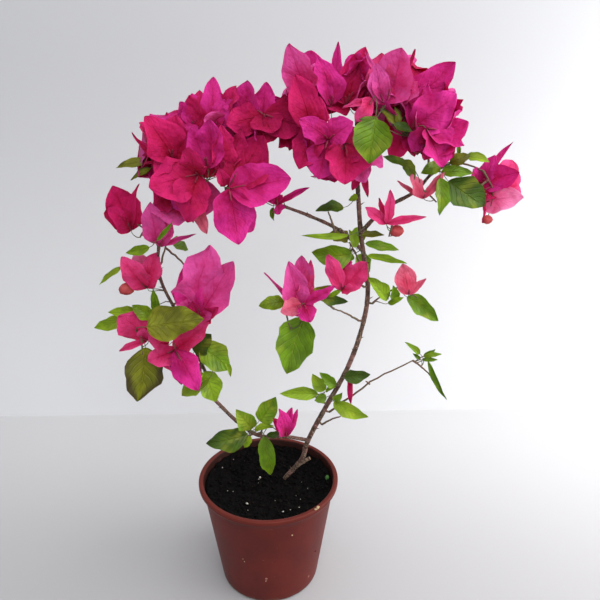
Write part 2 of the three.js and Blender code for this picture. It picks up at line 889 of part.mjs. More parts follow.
// Leaves spread over a lobe. A lobe with one leaf is that leaf's own space.
function leavesOf(lobe, shoots, random) {
  const turn = random() * 2 * Math.PI;
  const away = lobe.centre.clone().sub(lobe.anchor).normalize();
  const solids = [];
  for (let i = 0; i < lobe.leaves; i += 1) {
    const [tilt, size] = [random() - 0.5, random()];
    const along = lobe.alone
      ? away.clone().multiply(lobe.size).multiply(lobe.size)
      : spiralDirection(i, lobe.leaves, turn).multiply(LEAF_SPREAD);
    along.normalize();
    const normal = square(LEAF_FACE.clone().setX(tilt), along);
    const edge = edgeOf(lobe, along);
    const ahead = edgeOf(lobe, away) * LEAF_STAGGER * along.dot(away);
    const start = lobe.alone
      ? lobe.centre.clone().addScaledVector(along, -0.95 * edge)
      : lobe.centre.clone().addScaledVector(away, ahead).addScaledVector(along, LEAF_STALK);
    const room = LOBE_REACH * (edge - ahead * along.dot(away) - LEAF_STALK);
    const wanted = LEAF.length * THREE.MathUtils.lerp(...LEAF_SIZES, size);
    const full = lobe.alone ? 1.9 * edge : Math.min(wanted, room);
    for (const step of SIZE_STEPS) {
      const length = full * step;
      const base = start.clone();
      const leaf = { base, along, normal, length, kind: LEAF };
      if (!fits(lobe, leaf)) continue;
      const stalk = stalkTo(shoots, base, along);
      if (!stalkClear(stalk, base)) continue;
      solids.push(leafSolid(stalk, leaf));
      break;
    }
  }
  return solids;
}

// One mass: its stem leaves the limb, shoots branch from that stem to each lobe, and they carry
// the lobe's blooms and leaves.
function massSolid(mass) {
  const random = seeded(mass.seed);
  const limb = limbs.get(mass.limb);
  const { point, radius, along } = placeOn(limb, mass.height);
  const outward = mass.height === undefined ? along : square(mass.lobes[0].centre.clone().sub(point), along);
  const neck = point.clone().addScaledVector(outward, radius + NECK);
  const shoots = [[point, neck]];
  const solids = [tube([point, neck], [STEM_RADIUS, SHOOT_RADIUS], TWIG_SIDES)];
  const placed = [];
  for (const lobe of mass.lobes) {
    lobe.anchor = nearestOn(shoots.length > 1 ? shoots.slice(1) : [[neck]], lobe.centre);
    const into = lobe.centre.clone().sub(lobe.anchor);
    const edge = edgeOf(lobe, into.clone().normalize()) / into.length();
    const share = lobe.alone ? 1 - edge : 1 + SHOOT_OVERRUN * edge;
    if (share * into.length() > SHORTEST_SHOOT) {
      const line = twigLine(lobe.anchor, lobe.anchor.clone().addScaledVector(into, share), SHOOT_STEPS);
      shoots.push(line);
      solids.push(twigSolid(line, SHOOT_RADIUS));
    }
    solids.push(...bloomsOf(lobe, shoots, placed, random), ...leavesOf(lobe, shoots, random));
  }
  const fused = wasm.Manifold.union(solids);
  return largest(fused.subtract(limbSolid(limb, GAP)).simplify(SMOOTHING));
}

const plant = new THREE.Group();
plant.add(meshOf("pot", potSolid(), TERRACOTTA), meshOf("soil", soilSolid(), COMPOST));

for (const row of LIMBS) {
  growLimb(row);
  const limb = limbs.get(row.name);
  const solid = row.parent
    ? largest(limbSolid(limb, 0).subtract(limbSolid(limbs.get(row.parent), GAP)))
    : trunkSolid(limb);
  plant.add(meshOf(row.name, solid, BARK));
}

for (const mass of MASSES) mass.lobes = mass.lobes.map(lobeOf);
const allLobes = MASSES.flatMap((mass) => mass.lobes);
for (const mass of MASSES) {
  const others = allLobes.filter((other) => !mass.lobes.includes(other));
  for (const lobe of mass.lobes) lobe.walls = wallsOf(lobe, others);
  const blooming = mass.lobes.some((lobe) => lobe.blooms > 0);
  plant.add(meshOf(mass.name, massSolid(mass), blooming ? BLOSSOM : FOLIAGE));
}

export default plant;
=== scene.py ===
"""A young bougainvillea in a round plastic nursery pot, with bark, twigs, leaves and bracts."""

import itertools
import json
import math
from dataclasses import dataclass, replace

import bmesh
import bpy
import numpy as np
from mathutils import Matrix, Vector, noise

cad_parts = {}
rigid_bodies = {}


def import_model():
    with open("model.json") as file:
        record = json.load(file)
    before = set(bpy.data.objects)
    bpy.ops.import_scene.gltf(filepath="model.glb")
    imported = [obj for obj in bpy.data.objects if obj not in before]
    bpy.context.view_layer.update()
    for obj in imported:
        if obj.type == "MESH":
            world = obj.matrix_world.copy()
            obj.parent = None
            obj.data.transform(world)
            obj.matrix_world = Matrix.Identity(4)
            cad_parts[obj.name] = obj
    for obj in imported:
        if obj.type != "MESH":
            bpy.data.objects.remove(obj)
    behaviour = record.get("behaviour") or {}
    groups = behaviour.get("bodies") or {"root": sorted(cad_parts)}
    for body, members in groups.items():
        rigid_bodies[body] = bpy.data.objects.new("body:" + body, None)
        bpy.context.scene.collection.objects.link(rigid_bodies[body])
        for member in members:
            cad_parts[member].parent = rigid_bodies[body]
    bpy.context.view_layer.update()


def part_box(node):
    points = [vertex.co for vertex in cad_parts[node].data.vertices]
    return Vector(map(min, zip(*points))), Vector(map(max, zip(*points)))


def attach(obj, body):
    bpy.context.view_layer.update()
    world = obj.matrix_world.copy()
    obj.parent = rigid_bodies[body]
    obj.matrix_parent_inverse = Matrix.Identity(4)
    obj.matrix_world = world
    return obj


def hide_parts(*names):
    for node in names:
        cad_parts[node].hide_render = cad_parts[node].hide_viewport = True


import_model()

# Sizes are in millimetres, in the part's own frame, and become metres when a mesh is made.
MM = 0.001

# Pot
RIM_RADIUS = 75
BASE_RADIUS = 53
POT_HEIGHT = 125
POT_WALL = 1.6
LIP_OVERHANG = 3.5
WALL_SLOPE = (RIM_RADIUS - LIP_OVERHANG - BASE_RADIUS) / POT_HEIGHT
LIP_DEPTH = 5
LIP_BEAD = 1.28
BASE_ROUNDING = 4
BASE_BULGE = 0.4
BASE_INSET = 6
WALL_START = 8
WALL_RINGS = 14
LIP_RELIEF = 1.2
INNER_START = 4
INNER_RINGS = 8
INNER_CORNER = 2
POT_STEPS = 144
DRAIN_HOLES = 5
DRAIN_RADIUS = 4
DRAIN_CIRCLE = 36
DRILL_SIDES = 20
DRILL_DEPTH = 8

# Compost
SOIL_LEVEL = 110
SOIL_WAIST = 60
SOIL_RINGS = 34
SOIL_STEPS = 150
SOIL_GAP = 0.3
TOP_PLAY = 0.2
SIDE_PLAY = 0.4
BROAD_SCALE = 0.03
BROAD_RISE = 1.6
LUMP_SCALE = 0.11
LUMP_RISE = 2.3
BANK_RISE = 10
BANK_POWER = 5
CRUMB_SEED = 61
CRUMBS = 900
CRUMB_SIZES = (0.6, 1.5)
CRUMB_LIFT = 0.3
CRUMB_MARGIN = 3
PERLITE = 22
PERLITE_SIZES = (0.35, 0.8)
LUMP_KNOBS = 0.16
LUMP_LENGTHS = (0.7, 1.5)
LUMP_HEIGHT = 0.7
# Bits that lie about: centre and size, in the finish named
SCATTERED = [
    (36.7, -45.5, 115, 1.5, "perlite"),
    (-9.5, 15.5, 112, 1.3, "perlite"),
    (-23.2, -29.5, 113, 1.2, "perlite"),
    (14.0, -45.7, 114, 1.1, "perlite"),
    (64.0, 2.9, 118, 3.2, "fallen_leaf"),
    (49.0, -55.5, 125.4, 2.6, "debris"),
    (46.5, -58.0, 125.3, 1.5, "debris"),
    (-28.3, -55.2, 63.2, 0.8, "debris"),
    (-26.9, -56.6, 61.0, 0.6, "debris"),
    (22.4, -63.6, 99.3, 0.9, "debris"),
    (-5.0, -57.8, 34.6, 0.8, "debris"),
    (48.2, -37.2, 53.1, 0.9, "crumb"),
]

# The stem's waist above the compost, and the steps between two points of a limb's route
WAIST = 0.9
WAIST_HEIGHT = 14
STEPS_PER_SPAN = 3

# Limbs: what each leaves and at what height, its radii at foot and tip, and its route
LIMBS = {
    "trunk": {
        "foot": 3.5,
        "tip": 2.5,
        "route": [
            (12, 17, 98), (18, 13, 112), (36, 3, 143), (42, -6, 172), (57, -14, 212), (81, -18, 266),
            (94, -18, 312), (97, -18, 350), (89, -18, 398), (84, -18, 447),
        ],
    },
    "left_bough_lower": {
        "parent": "trunk",
        "height": 173,
        "foot": 2.3,
        "tip": 2.1,
        "route": [(20, -12, 182), (-8, -18, 188), (-30, -22, 208), (-52, -24, 236)],
    },
    "left_bough_upper": {
        "parent": "left_bough_lower",
        "foot": 2.1,
        "tip": 1.6,
        "route": [(-60, -22, 268), (-77, -20, 314), (-95, -20, 361), (-94, -20, 395), (-86, -20, 436)],
    },
    "arch_bough": {
        "parent": "trunk",
        "height": 384,
        "foot": 2.2,
        "tip": 1.6,
        "route": [(70, -23, 405), (42, -26, 420), (11, -21, 431)],
    },
    "right_bough": {
        "parent": "trunk",
        "height": 402,
        "foot": 2.3,
        "tip": 1.4,
        "route": [(109, -22, 425), (134, -24, 440), (149, -23, 456), (164, -20, 464)],
    },
}

# The cut stub on the stem
STUB_HEIGHT = 132
STUB_REACH = 15
STUB_RISE = 10
STUB_DROP = 0.6
STUB_RADIUS = 2.2
STUB_SLIMNESS = 0.8
STUB_STEPS = 12
STUB_SEED = 9

# Bark
BARK_STEPS_PER_SPAN = 22
BARK_SIDES = 22
BARK_SLIMNESS = 0.8
COLLAR_SWELL = 0.4
COLLAR_LENGTH = 5
FIRST_SCAR = 9
SCAR_SPACING = 19
SCAR_STRAY = 3
SCAR_SWELL = 0.22
SCAR_WIDTH = 2.2
THORN_START = 20
THORNLESS = 0.35
THORN_LENGTHS = (2.5, 5)
THORN_RADII = (0.75, 0.08)
THORN_SLANT = 0.55
THORN_SINK = 0.7
THORN_SIDES = 7
# Ridges and grit in the bark: their height, and how fine they are round a limb and along it
BARK_RELIEF = [(0.26, 1.6, 0.07), (0.12, 5, 0.45)]

# Twigs
STEM_RADIUS = 1.5
SHOOT_RADIUS = 1.15
SHOOT_TAPER = 0.45
STALK_RADIUS = 0.5
TWIG_SIDES = 7
NECK = 2.5
SHOOT_STEPS = 3
SHOOT_OVERRUN = 0.3
SHOOT_SHORTFALL = 0.7
SHOOT_SMOOTHING = 4
SHORTEST_SHOOT = 6
TWIG_BOW = 0.04
TWIG_WANDER = 0.006
STALK = 6
STALK_STEPS = 6
STALK_BOWS = (0.4, 0.25, 0.12)
STALK_CHOICES = 16
STALK_NEARNESS = 3.2
ROOT_PLACES = (0.2, 0.5, 0.8)

# Flower tubes: how far they reach along a bract, their thickness from foot to tip, and how they rise
FLOWER_FOOT = 0.02
FLOWER_REACH = (0.16, 0.3)
FLOWER_SIZES = (0.7, 1.0)
FLOWER_LIFT = (0.4, 2.4)
FLOWER_RADII = np.array((0.5, 0.9, 1.0, 0.75, 0.65, 0.85, 0.35))
FLOWER_SIDES = 6

# The bracts are two pieces, which part at this x
BLOSSOM_SPLIT = 30


@dataclass(frozen=True)
class Kind:
    """The form that all blades of one kind share."""

    # The full length in millimetres, and the width as a share of it
    length: float
    width: float
    # How roundly the outline leaves the foot and comes to the tip: a higher number is more pointed
    swell: float
    point: float
    # The plain form, with which room in the crown is tried
    bend: float
    cup: float
    # The grown form: how far it may bend and fold, and how deep its ruffles and dents are
    bends: tuple
    ruffle: float
    folds: tuple
    dent: float
    # The thickness in millimetres, and the faces from edge to edge and from foot to tip
    thickness: float
    across: int
    rows: int


BRACT = Kind(
    length=46,
    width=0.86,
    swell=0.5,
    point=0.64,
    bend=0.6,
    cup=0.12,
    bends=(-0.9, 1.1),
    ruffle=0.13,
    folds=(-0.3, 0.35),
    dent=0.022,
    thickness=0.3,
    across=6,
    rows=10,
)
LEAF = Kind(
    length=38,
    width=0.74,
    swell=0.6,
    point=0.84,
    bend=0.7,
    cup=0.25,
    bends=(-0.3, 1.2),
    ruffle=0.09,
    folds=(0.0, 0.4),
    dent=0.012,
    thickness=0.35,
    across=6,
    rows=9,
)
FRONT_BRACT = replace(BRACT, swell=0.6, point=0.82, across=10, rows=14)
FRONT_LEAF = replace(LEAF, point=0.95, across=8, rows=14)

# How much one blade differs from the next of its kind
FORM_SEED = 7
LEAST_BEND = 0.1
TWIST = 0.3
SWAY = 0.07
RUFFLING = (0.5, 1.5)
EDGE_WAVES = (1.0, 2.2)
EDGE_LOBES = (1.5, 3)
EDGE_DEPTH = 0.08
DENTING = (0.6, 1.6)
DENT_ROWS = (1.6, 2.8)
DENT_COLUMNS = (0.45, 0.8)

# Blooms that the rule places
BRACTS_PER_BLOOM = 3
BRACT_LEAN = 0.9
CUP_LEAN = 0.6
CUP_LENGTH = 1.85
LEAN_RANGE = (0.7, 1.2)
BLOOM_SIZES = (0.84, 1.14)
BLOOM_WOBBLE = 0.4
BLOOM_HEART = 0.4
OUTLOOK = np.array((0, -0.7, 0.3))
GOLDEN_ANGLE = math.pi * (3 - math.sqrt(5))
FULLNESS = 2.2
CROWDING = 0.24
FOREMOST = -34
SIZE_STEPS = (1, 0.9, 0.8, 0.7, 0.6, 0.5)
PLACE_STEPS = (1, 0.8, 0.6, 0.4)
SPIN_STEPS = (0, 0.25, 0.5, 0.75)
BLOOM_TRIES = list(itertools.product(SIZE_STEPS, PLACE_STEPS, SPIN_STEPS))

# Leaves that the rule places
LEAF_SIZES = (0.8, 1.2)
LEAF_FACE = (-0.55, 0.8)
LEAF_STAGGER = 0.35
LEAF_STALK = 3
LEAF_SPREAD = np.array((1, 1, 0.7))
LEAFINESS = 1.5

# Room in the crown, and the places on a blade where it is tried
LIMB_CLEARANCE = 2.5
PROBES_U = np.array((0, 0, 0, 0, -1, -1, 1, 1.0))
PROBES_V = np.array((0.3, 0.5, 0.75, 1, 0.25, 0.6, 0.25, 0.6))

# Blades and buds in front, which have a place of their own
TO_VIEWER = np.array((0, -0.9, 0.45))
OPENING_OUT = 0.3
BRACT_STRAY = 0.22
LEAF_STRAY = 0.25
BRACT_SLACK = 1.03
LEAF_SLACK = 1.04
NARROW = 12
FRONT_ROOM = 9
WOOD_SPAN = 60
BUD_AHEAD = np.array((0, 0, 1.0))
BUD_FORM = np.array((1, 0.9, 0.8))
BUD_RIDGES = 0.13
BUD_TURN = 0.8

# Tints of the blooms and leaves that the rule places, and the share of each
BLOSSOM_TINTS = {"magenta": 0.42, "violet_pink": 0.2, "crimson": 0.22, "rose": 0.16}
LEAF_TINTS = {
    "mid_green": 0.38,
    "lime_green": 0.34,
    "deep_green": 0.16,
    "olive_green": 0.1,
    "bronze_green": 0.02,
}


@dataclass
class Lobe:
    """An ellipsoid of the crown, how many blooms and leaves the rule starts from, and its shoot's foot."""

    centre: np.ndarray
    size: np.ndarray
    blooms: int = 0
    leaves: int = 0
    anchor: np.ndarray = None


def in_bloom(mass):
    """Whether the rule adds blooms to a mass, beside those in front."""
    return any(lobe.blooms for lobe in mass.lobes)


def lobe(x, y, z, wide, deep, tall, **bears):
    return Lobe(np.array((x, y, z), float), np.array((wide, deep, tall), float), **bears)


@dataclass
class Mass:
    """A mass of the crown: the limb that it leaves, at a height or at the tip, its seed and its lobes."""

    limb: str
    height: float
    seed: int
    lobes: list


MASSES = {
    "upper_left_head": Mass("left_bough_upper", None, 3, [
        lobe(-81, -12, 475, 33, 46, 40, blooms=5), lobe(-62, -38, 446, 32, 34, 36, blooms=4),
        lobe(-113, -20, 463, 16, 12, 11),
    ]),
    "arch_head": Mass("arch_bough", None, 5, [
        lobe(-20, -42, 443, 28, 34, 41, blooms=4), lobe(-34, -12, 492, 38, 46, 40, blooms=5),
        lobe(6, -12, 503, 38, 46, 32, blooms=5), lobe(24, -26, 444, 15, 16, 15),
    ]),
    "top_head": Mass("trunk", None, 8, [
        lobe(44, -12, 522, 30, 44, 41, blooms=5), lobe(62, -34, 481, 38, 36, 31, blooms=5),
        lobe(80, -12, 524, 32, 44, 38, blooms=5), lobe(90, -66, 488, 17, 12, 21),
    ]),
    "top_right_head": Mass("right_bough", 456, 13, [
        lobe(147, -14, 506, 31, 42, 42, blooms=6), lobe(117, -12, 522, 32, 44, 40, blooms=5),
        lobe(113, -46, 492, 18, 18, 18),
    ]),
    "right_end_spray": Mass("right_bough", None, 21, [
        lobe(184, -22, 458, 22, 20, 18), lobe(212, -20, 453, 25, 28, 30), lobe(214, -24, 428, 20, 20, 20),
        lobe(180, -34, 438, 18, 14, 20),
    ]),
    "right_bough_spray": Mass("right_bough", 444, 34, [
        lobe(136, -48, 448, 20, 17, 18), lobe(156, -42, 430, 9, 8, 18),
    ]),
    "fork_right_spray": Mass("right_bough", 416, 55, [
        lobe(104, -44, 424, 16, 17, 18), lobe(124, -42, 414, 16, 15, 14), lobe(110, -30, 393, 21, 18, 14),
    ]),
    "fork_left_spray": Mass("arch_bough", 408, 4, [
        lobe(54, -40, 397, 21, 18, 17), lobe(54, -40, 434, 13, 13, 12),
    ]),
    "mid_left_spray": Mass("trunk", 314, 89, [
        lobe(57, -30, 336, 14, 13, 12), lobe(30, -34, 357, 25, 26, 30), lobe(8, -32, 334, 14, 13, 13),
        lobe(28, -36, 296, 19, 12, 28),
    ]),
    "mid_bloom_spray": Mass("trunk", 350, 7, [lobe(73, -38, 366, 20, 18, 20)]),
    "mid_back_spray": Mass("trunk", 358, 12, [
        lobe(86, 16, 376, 30, 27, 28, leaves=4), lobe(76, 25, 350, 15, 15, 15, blooms=1, leaves=1),
    ]),
    "mid_right_spray": Mass("trunk", 333, 29, [
        lobe(115, -26, 348, 17, 14, 14), lobe(136, -28, 358, 16, 17, 19), lobe(152, -26, 333, 19, 13, 13),
    ]),
    "low_right_spray": Mass("trunk", 214, 10, [
        lobe(152, -30, 283, 24, 17, 14), lobe(92, -28, 258, 16, 13, 13), lobe(168, -30, 252, 10, 8, 26),
    ]),
    "low_left_sprig": Mass("trunk", 222, 17, [lobe(36, -28, 247, 25, 17, 18)]),
    "low_right_sprig": Mass("trunk", 200, 20, [lobe(80, -34, 222, 20, 15, 14)]),
    "low_centre_spray": Mass("left_bough_lower", 189, 23, [
        lobe(-2, -26, 212, 22, 19, 19), lobe(16, -32, 207, 17, 15, 20), lobe(-38, -32, 192, 22, 17, 18),
        lobe(2, -34, 166, 12, 9, 22),
    ]),
    "left_low_spray": Mass("left_bough_upper", 275, 26, [
        lobe(-72, -46, 286, 28, 25, 30), lobe(-46, -28, 290, 20, 19, 23), lobe(-60, -42, 250, 19, 15, 16),
    ]),
    "left_low_back_spray": Mass("left_bough_upper", 290, 14, [
        lobe(-62, 14, 302, 28, 25, 28, leaves=2), lobe(-70, 22, 312, 16, 16, 16, blooms=1),
    ]),
    "left_mid_spray": Mass("left_bough_upper", 318, 41, [
        lobe(-84, -52, 332, 24, 16, 18), lobe(-100, -46, 304, 20, 21, 20), lobe(-127, -34, 312, 19, 21, 20),
        lobe(-136, -24, 328, 22, 18, 15), lobe(-114, -40, 276, 18, 13, 26),
    ]),
    "big_bloom_spray": Mass("left_bough_upper", 336, 44, [
        lobe(-56, -36, 362, 30, 31, 36), lobe(-60, -44, 318, 22, 20, 18),
    ]),
    "left_side_lower_spray": Mass("left_bough_upper", 362, 47, [
        lobe(-116, -24, 376, 20, 22, 20), lobe(-138, -20, 362, 18, 14, 16),
    ]),
    "left_side_back_spray": Mass("left_bough_upper", 370, 16, [
        lobe(-92, 18, 384, 28, 28, 28, leaves=2), lobe(-102, 24, 396, 15, 15, 15, blooms=1),
        lobe(-64, 22, 344, 15, 15, 15, blooms=1),
    ]),
    "left_side_upper_spray": Mass("left_bough_upper", 398, 50, [
        lobe(-96, -40, 412, 18, 19, 24), lobe(-124, -18, 424, 20, 23, 22), lobe(-114, -24, 396, 13, 13, 11),
    ]),
}

# Blooms in front, by mass: their foot and tint, then the tip and the width of each bract
FRONT_BLOOMS = {
    "upper_left_head": [
        ((-73, -44, 474), "crimson", [(-89, -56, 511, 33), (-66, -40, 508, 28), (-83, -60, 463, 19)]),
        ((-80, -40, 469), "crimson", [(-106, -36, 495, 6), (-79, -22, 510, 17), (-90, -50, 483, 15)]),
        ((-52, -54, 464), "crimson", [(-90, -66, 457, 37), (-68, -62, 428, 31), (-56, -66, 488, 22)]),
        ((-60, -50, 445), "salmon", [(-47, -54, 414, 13)]),
        ((-57, -46, 449), "magenta", [(-76, -48, 435, 29), (-64, -50, 428, 19)]),
        ((-48, -30, 488), "crimson", [(-61, -28, 522, 25), (-47, -20, 528, 22), (-29, -26, 510, 18)]),
        ((-39, -34, 495), "magenta", [(-41, -22, 537, 21), (-29, -26, 521, 17)]),
        ((-44, -54, 469), "magenta", [(-39, -56, 507, 27), (-55, -52, 501, 21)]),
        ((-29, -30, 501), "crimson", [(-22, -26, 531, 21), (-35, -24, 525, 17)]),
        ((-54, -26, 497), "magenta", [(-57, -22, 525, 21), (-69, -22, 516, 20)]),
        ((-80, -40, 441), "crimson", [(-91, -44, 436, 22)]),
        ((-33, -48, 464), "crimson", [(-31, -52, 502, 21), (-17, -44, 499, 21)]),
    ],
    "arch_head": [
        ((-27, -64, 454), "magenta", [(-20, -72, 410, 35), (23, -62, 461, 36)]),
        # Tinted with the darker copy of crimson: painted shade.
        ((-27, -62, 455), "ruby", [(2, -50, 494, 40)]),
        ((-31, -60, 455), "crimson", [(-33, -66, 471, 11)]),
        ((-16, -34, 498), "magenta", [(-12, -28, 535, 28), (-27, -30, 520, 18)]),
        ((1, -32, 498), "magenta", [(3, -26, 533, 21), (15, -22, 521, 17)]),
        ((1, -40, 508), "crimson", [(-28, -46, 503, 26)]),
        # These two are tinted with the darker copy of crimson: painted shade.
        ((2, -42, 510), "ruby", [(7, -52, 496, 27), (35, -42, 497, 30)]),
        ((15, -38, 495), "ruby", [(-11, -36, 495, 23), (18, -34, 525, 28), (32, -40, 485, 22)]),
        ((13, -30, 432), "magenta", [(40, -26, 447, 6), (7, -24, 444, 14), (15, -28, 423, 12)]),
    ],
    "top_head": [
        ((39, -40, 525), "violet_pink", [(22, -44, 564, 27)]),
        ((41, -38, 524), "magenta", [(44, -30, 543, 15)]),
        ((41, -50, 498), "crimson", [(26, -52, 540, 27), (49, -46, 523, 19)]),
        ((58, -32, 515), "magenta", [(50, -32, 553, 26), (69, -20, 563, 11), (42, -30, 542, 13)]),
        ((71, -30, 516), "crimson", [(83, -26, 560, 26), (63, -24, 540, 18), (92, -26, 547, 15)]),
        ((75, -24, 514), "crimson", [(52, -34, 514, 18), (87, -30, 523, 18)]),
        ((90, -46, 522), "rose", [(74, -54, 506, 14), (66, -50, 514, 6)]),
        ((102, -44, 518), "violet_pink", [(114, -46, 560, 35)]),
        ((96, -36, 518), "rose", [(101, -36, 555, 24)]),
        ((100, -42, 517), "violet_pink", [(92, -36, 549, 18), (86, -30, 558, 6)]),
        ((115, -34, 520), "crimson", [(89, -38, 522, 18), (127, -28, 558, 5)]),
        ((46, -44, 499), "crimson", [(30, -52, 468, 26), (25, -44, 489, 21)]),
        ((54, -54, 491), "magenta", [(31, -62, 509, 20), (74, -58, 504, 24), (45, -62, 461, 29)]),
        ((67, -56, 488), "crimson", [(68, -68, 458, 36), (89, -60, 483, 27), (55, -60, 471, 21)]),
        ((74, -50, 480), "violet_pink", [(99, -58, 468, 23), (87, -50, 455, 20)]),
        ((84, -40, 465), "crimson", [(91, -38, 440, 6), (77, -38, 446, 9)]),
    ],
    "top_right_head": [
        ((120, -36, 509), "magenta", [(156, -36, 551, 30), (125, -28, 541, 16)]),
        ((123, -44, 498), "magenta", [(160, -50, 524, 32), (138, -40, 533, 21)]),
        ((132, -42, 478), "magenta", [(168, -46, 505, 35), (145, -50, 513, 21)]),
        ((134, -52, 499), "magenta", [(144, -60, 468, 31), (165, -54, 483, 23), (122, -46, 481, 18)]),
        ((142, -40, 499), "crimson", [(136, -44, 472, 22), (160, -42, 473, 20)]),
        ((123, -34, 495), "crimson", [(109, -36, 472, 20), (129, -38, 476, 17), (113, -30, 503, 15)]),
    ],
    "right_end_spray": [
        ((195, -16, 445), "magenta",
         [(222, -34, 461, 23), (185, -26, 461, 18), (220, -6, 483, 7), (208, -20, 469, 16)]),
        ((201, -12, 426), "blush", [(229, -38, 436, 28)]),
        ((196, -24, 441), "crimson", [(198, -26, 412, 8), (216, -10, 441, 20)]),
        ((219, 2, 435), "rose", [(233, 14, 460, 28), (242, 10, 437, 28), (209, 14, 453, 24)]),
    ],
    "right_bough_spray": [
        ((139, -40, 438), "salmon", [(128, -44, 461, 13), (117, -36, 454, 5), (159, -32, 458, 8)]),
    ],
    "fork_right_spray": [
        ((108, -40, 416), "rose", [(89, -44, 433, 11), (109, -36, 445, 10), (143, -32, 422, 8)]),
        ((107, -38, 417), "crimson", [(99, -34, 436, 8)]),
    ],
    "mid_left_spray": [
        ((34, -34, 327), "violet_pink", [(21, -44, 383, 26), (34, -30, 385, 25), (5, -28, 371, 5)]),
        ((35, -42, 343), "magenta", [(41, -48, 327, 18), (64, -38, 357, 10)]),
        ((33, -44, 343), "salmon", [(14, -50, 339, 18)]),
        ((38, -30, 342), "rose", [(45, -26, 378, 10), (32, -40, 365, 18)]),
    ],
    "mid_bloom_spray": [
        ((70, -36, 353), "rose", [(60, -38, 389, 16), (91, -40, 381, 23), (82, -46, 357, 11)]),
    ],
    "mid_right_spray": [
        ((134, -28, 344), "salmon", [(128, -32, 376, 21), (150, -22, 358, 7)]),
    ],
    "low_centre_spray": [
        ((18, -32, 196), "magenta", [(12, -38, 232, 17), (23, -28, 227, 11), (33, -24, 221, 8)]),
        ((20, -28, 193), "crimson", [(6, -32, 217, 10)]),
    ],
    "low_right_sprig": [
        ((82, -24, 260), "crimson", [(82, -28, 233, 5), (79, -26, 227, 6)]),
    ],
    "left_side_upper_spray": [
        ((-117, -22, 408), "crimson", [(-126, -30, 450, 32), (-108, -16, 450, 13), (-132, -34, 434, 21)]),
        ((-92, -40, 401), "violet_pink", [(-93, -48, 440, 22)]),
        ((-90, -38, 398), "violet_pink", [(-81, -34, 428, 16), (-60, -30, 407, 5)]),
    ],
    "left_side_lower_spray": [
        ((-107, -24, 354), "rose", [(-126, -30, 387, 23), (-95, -20, 387, 22)]),
        ((-109, -20, 357), "blush", [(-112, -12, 387, 20)]),
    ],
    "big_bloom_spray": [
        ((-63, -38, 327), "violet_pink", [(-55, -46, 399, 45), (-29, -36, 382, 32)]),
        ((-65, -36, 331), "magenta", [(-72, -30, 381, 25)]),
        ((-60, -34, 322), "crimson", [(-43, -42, 342, 14), (-65, -44, 348, 14)]),
    ],
    "left_mid_spray": [
        ((-109, -36, 307), "rose", [(-131, -44, 336, 32), (-137, -34, 295, 7), (-112, -40, 322, 15)]),
    ],
    "left_low_spray": [
        ((-84, -46, 301), "rose", [(-51, -48, 330, 20), (-107, -50, 292, 22)]),
        ((-82, -50, 303), "magenta", [(-62, -58, 267, 26), (-76, -52, 269, 17)]),
        ((-90, -40, 303), "rose", [(-107, -44, 317, 16), (-84, -47, 277, 22)]),
    ],
}

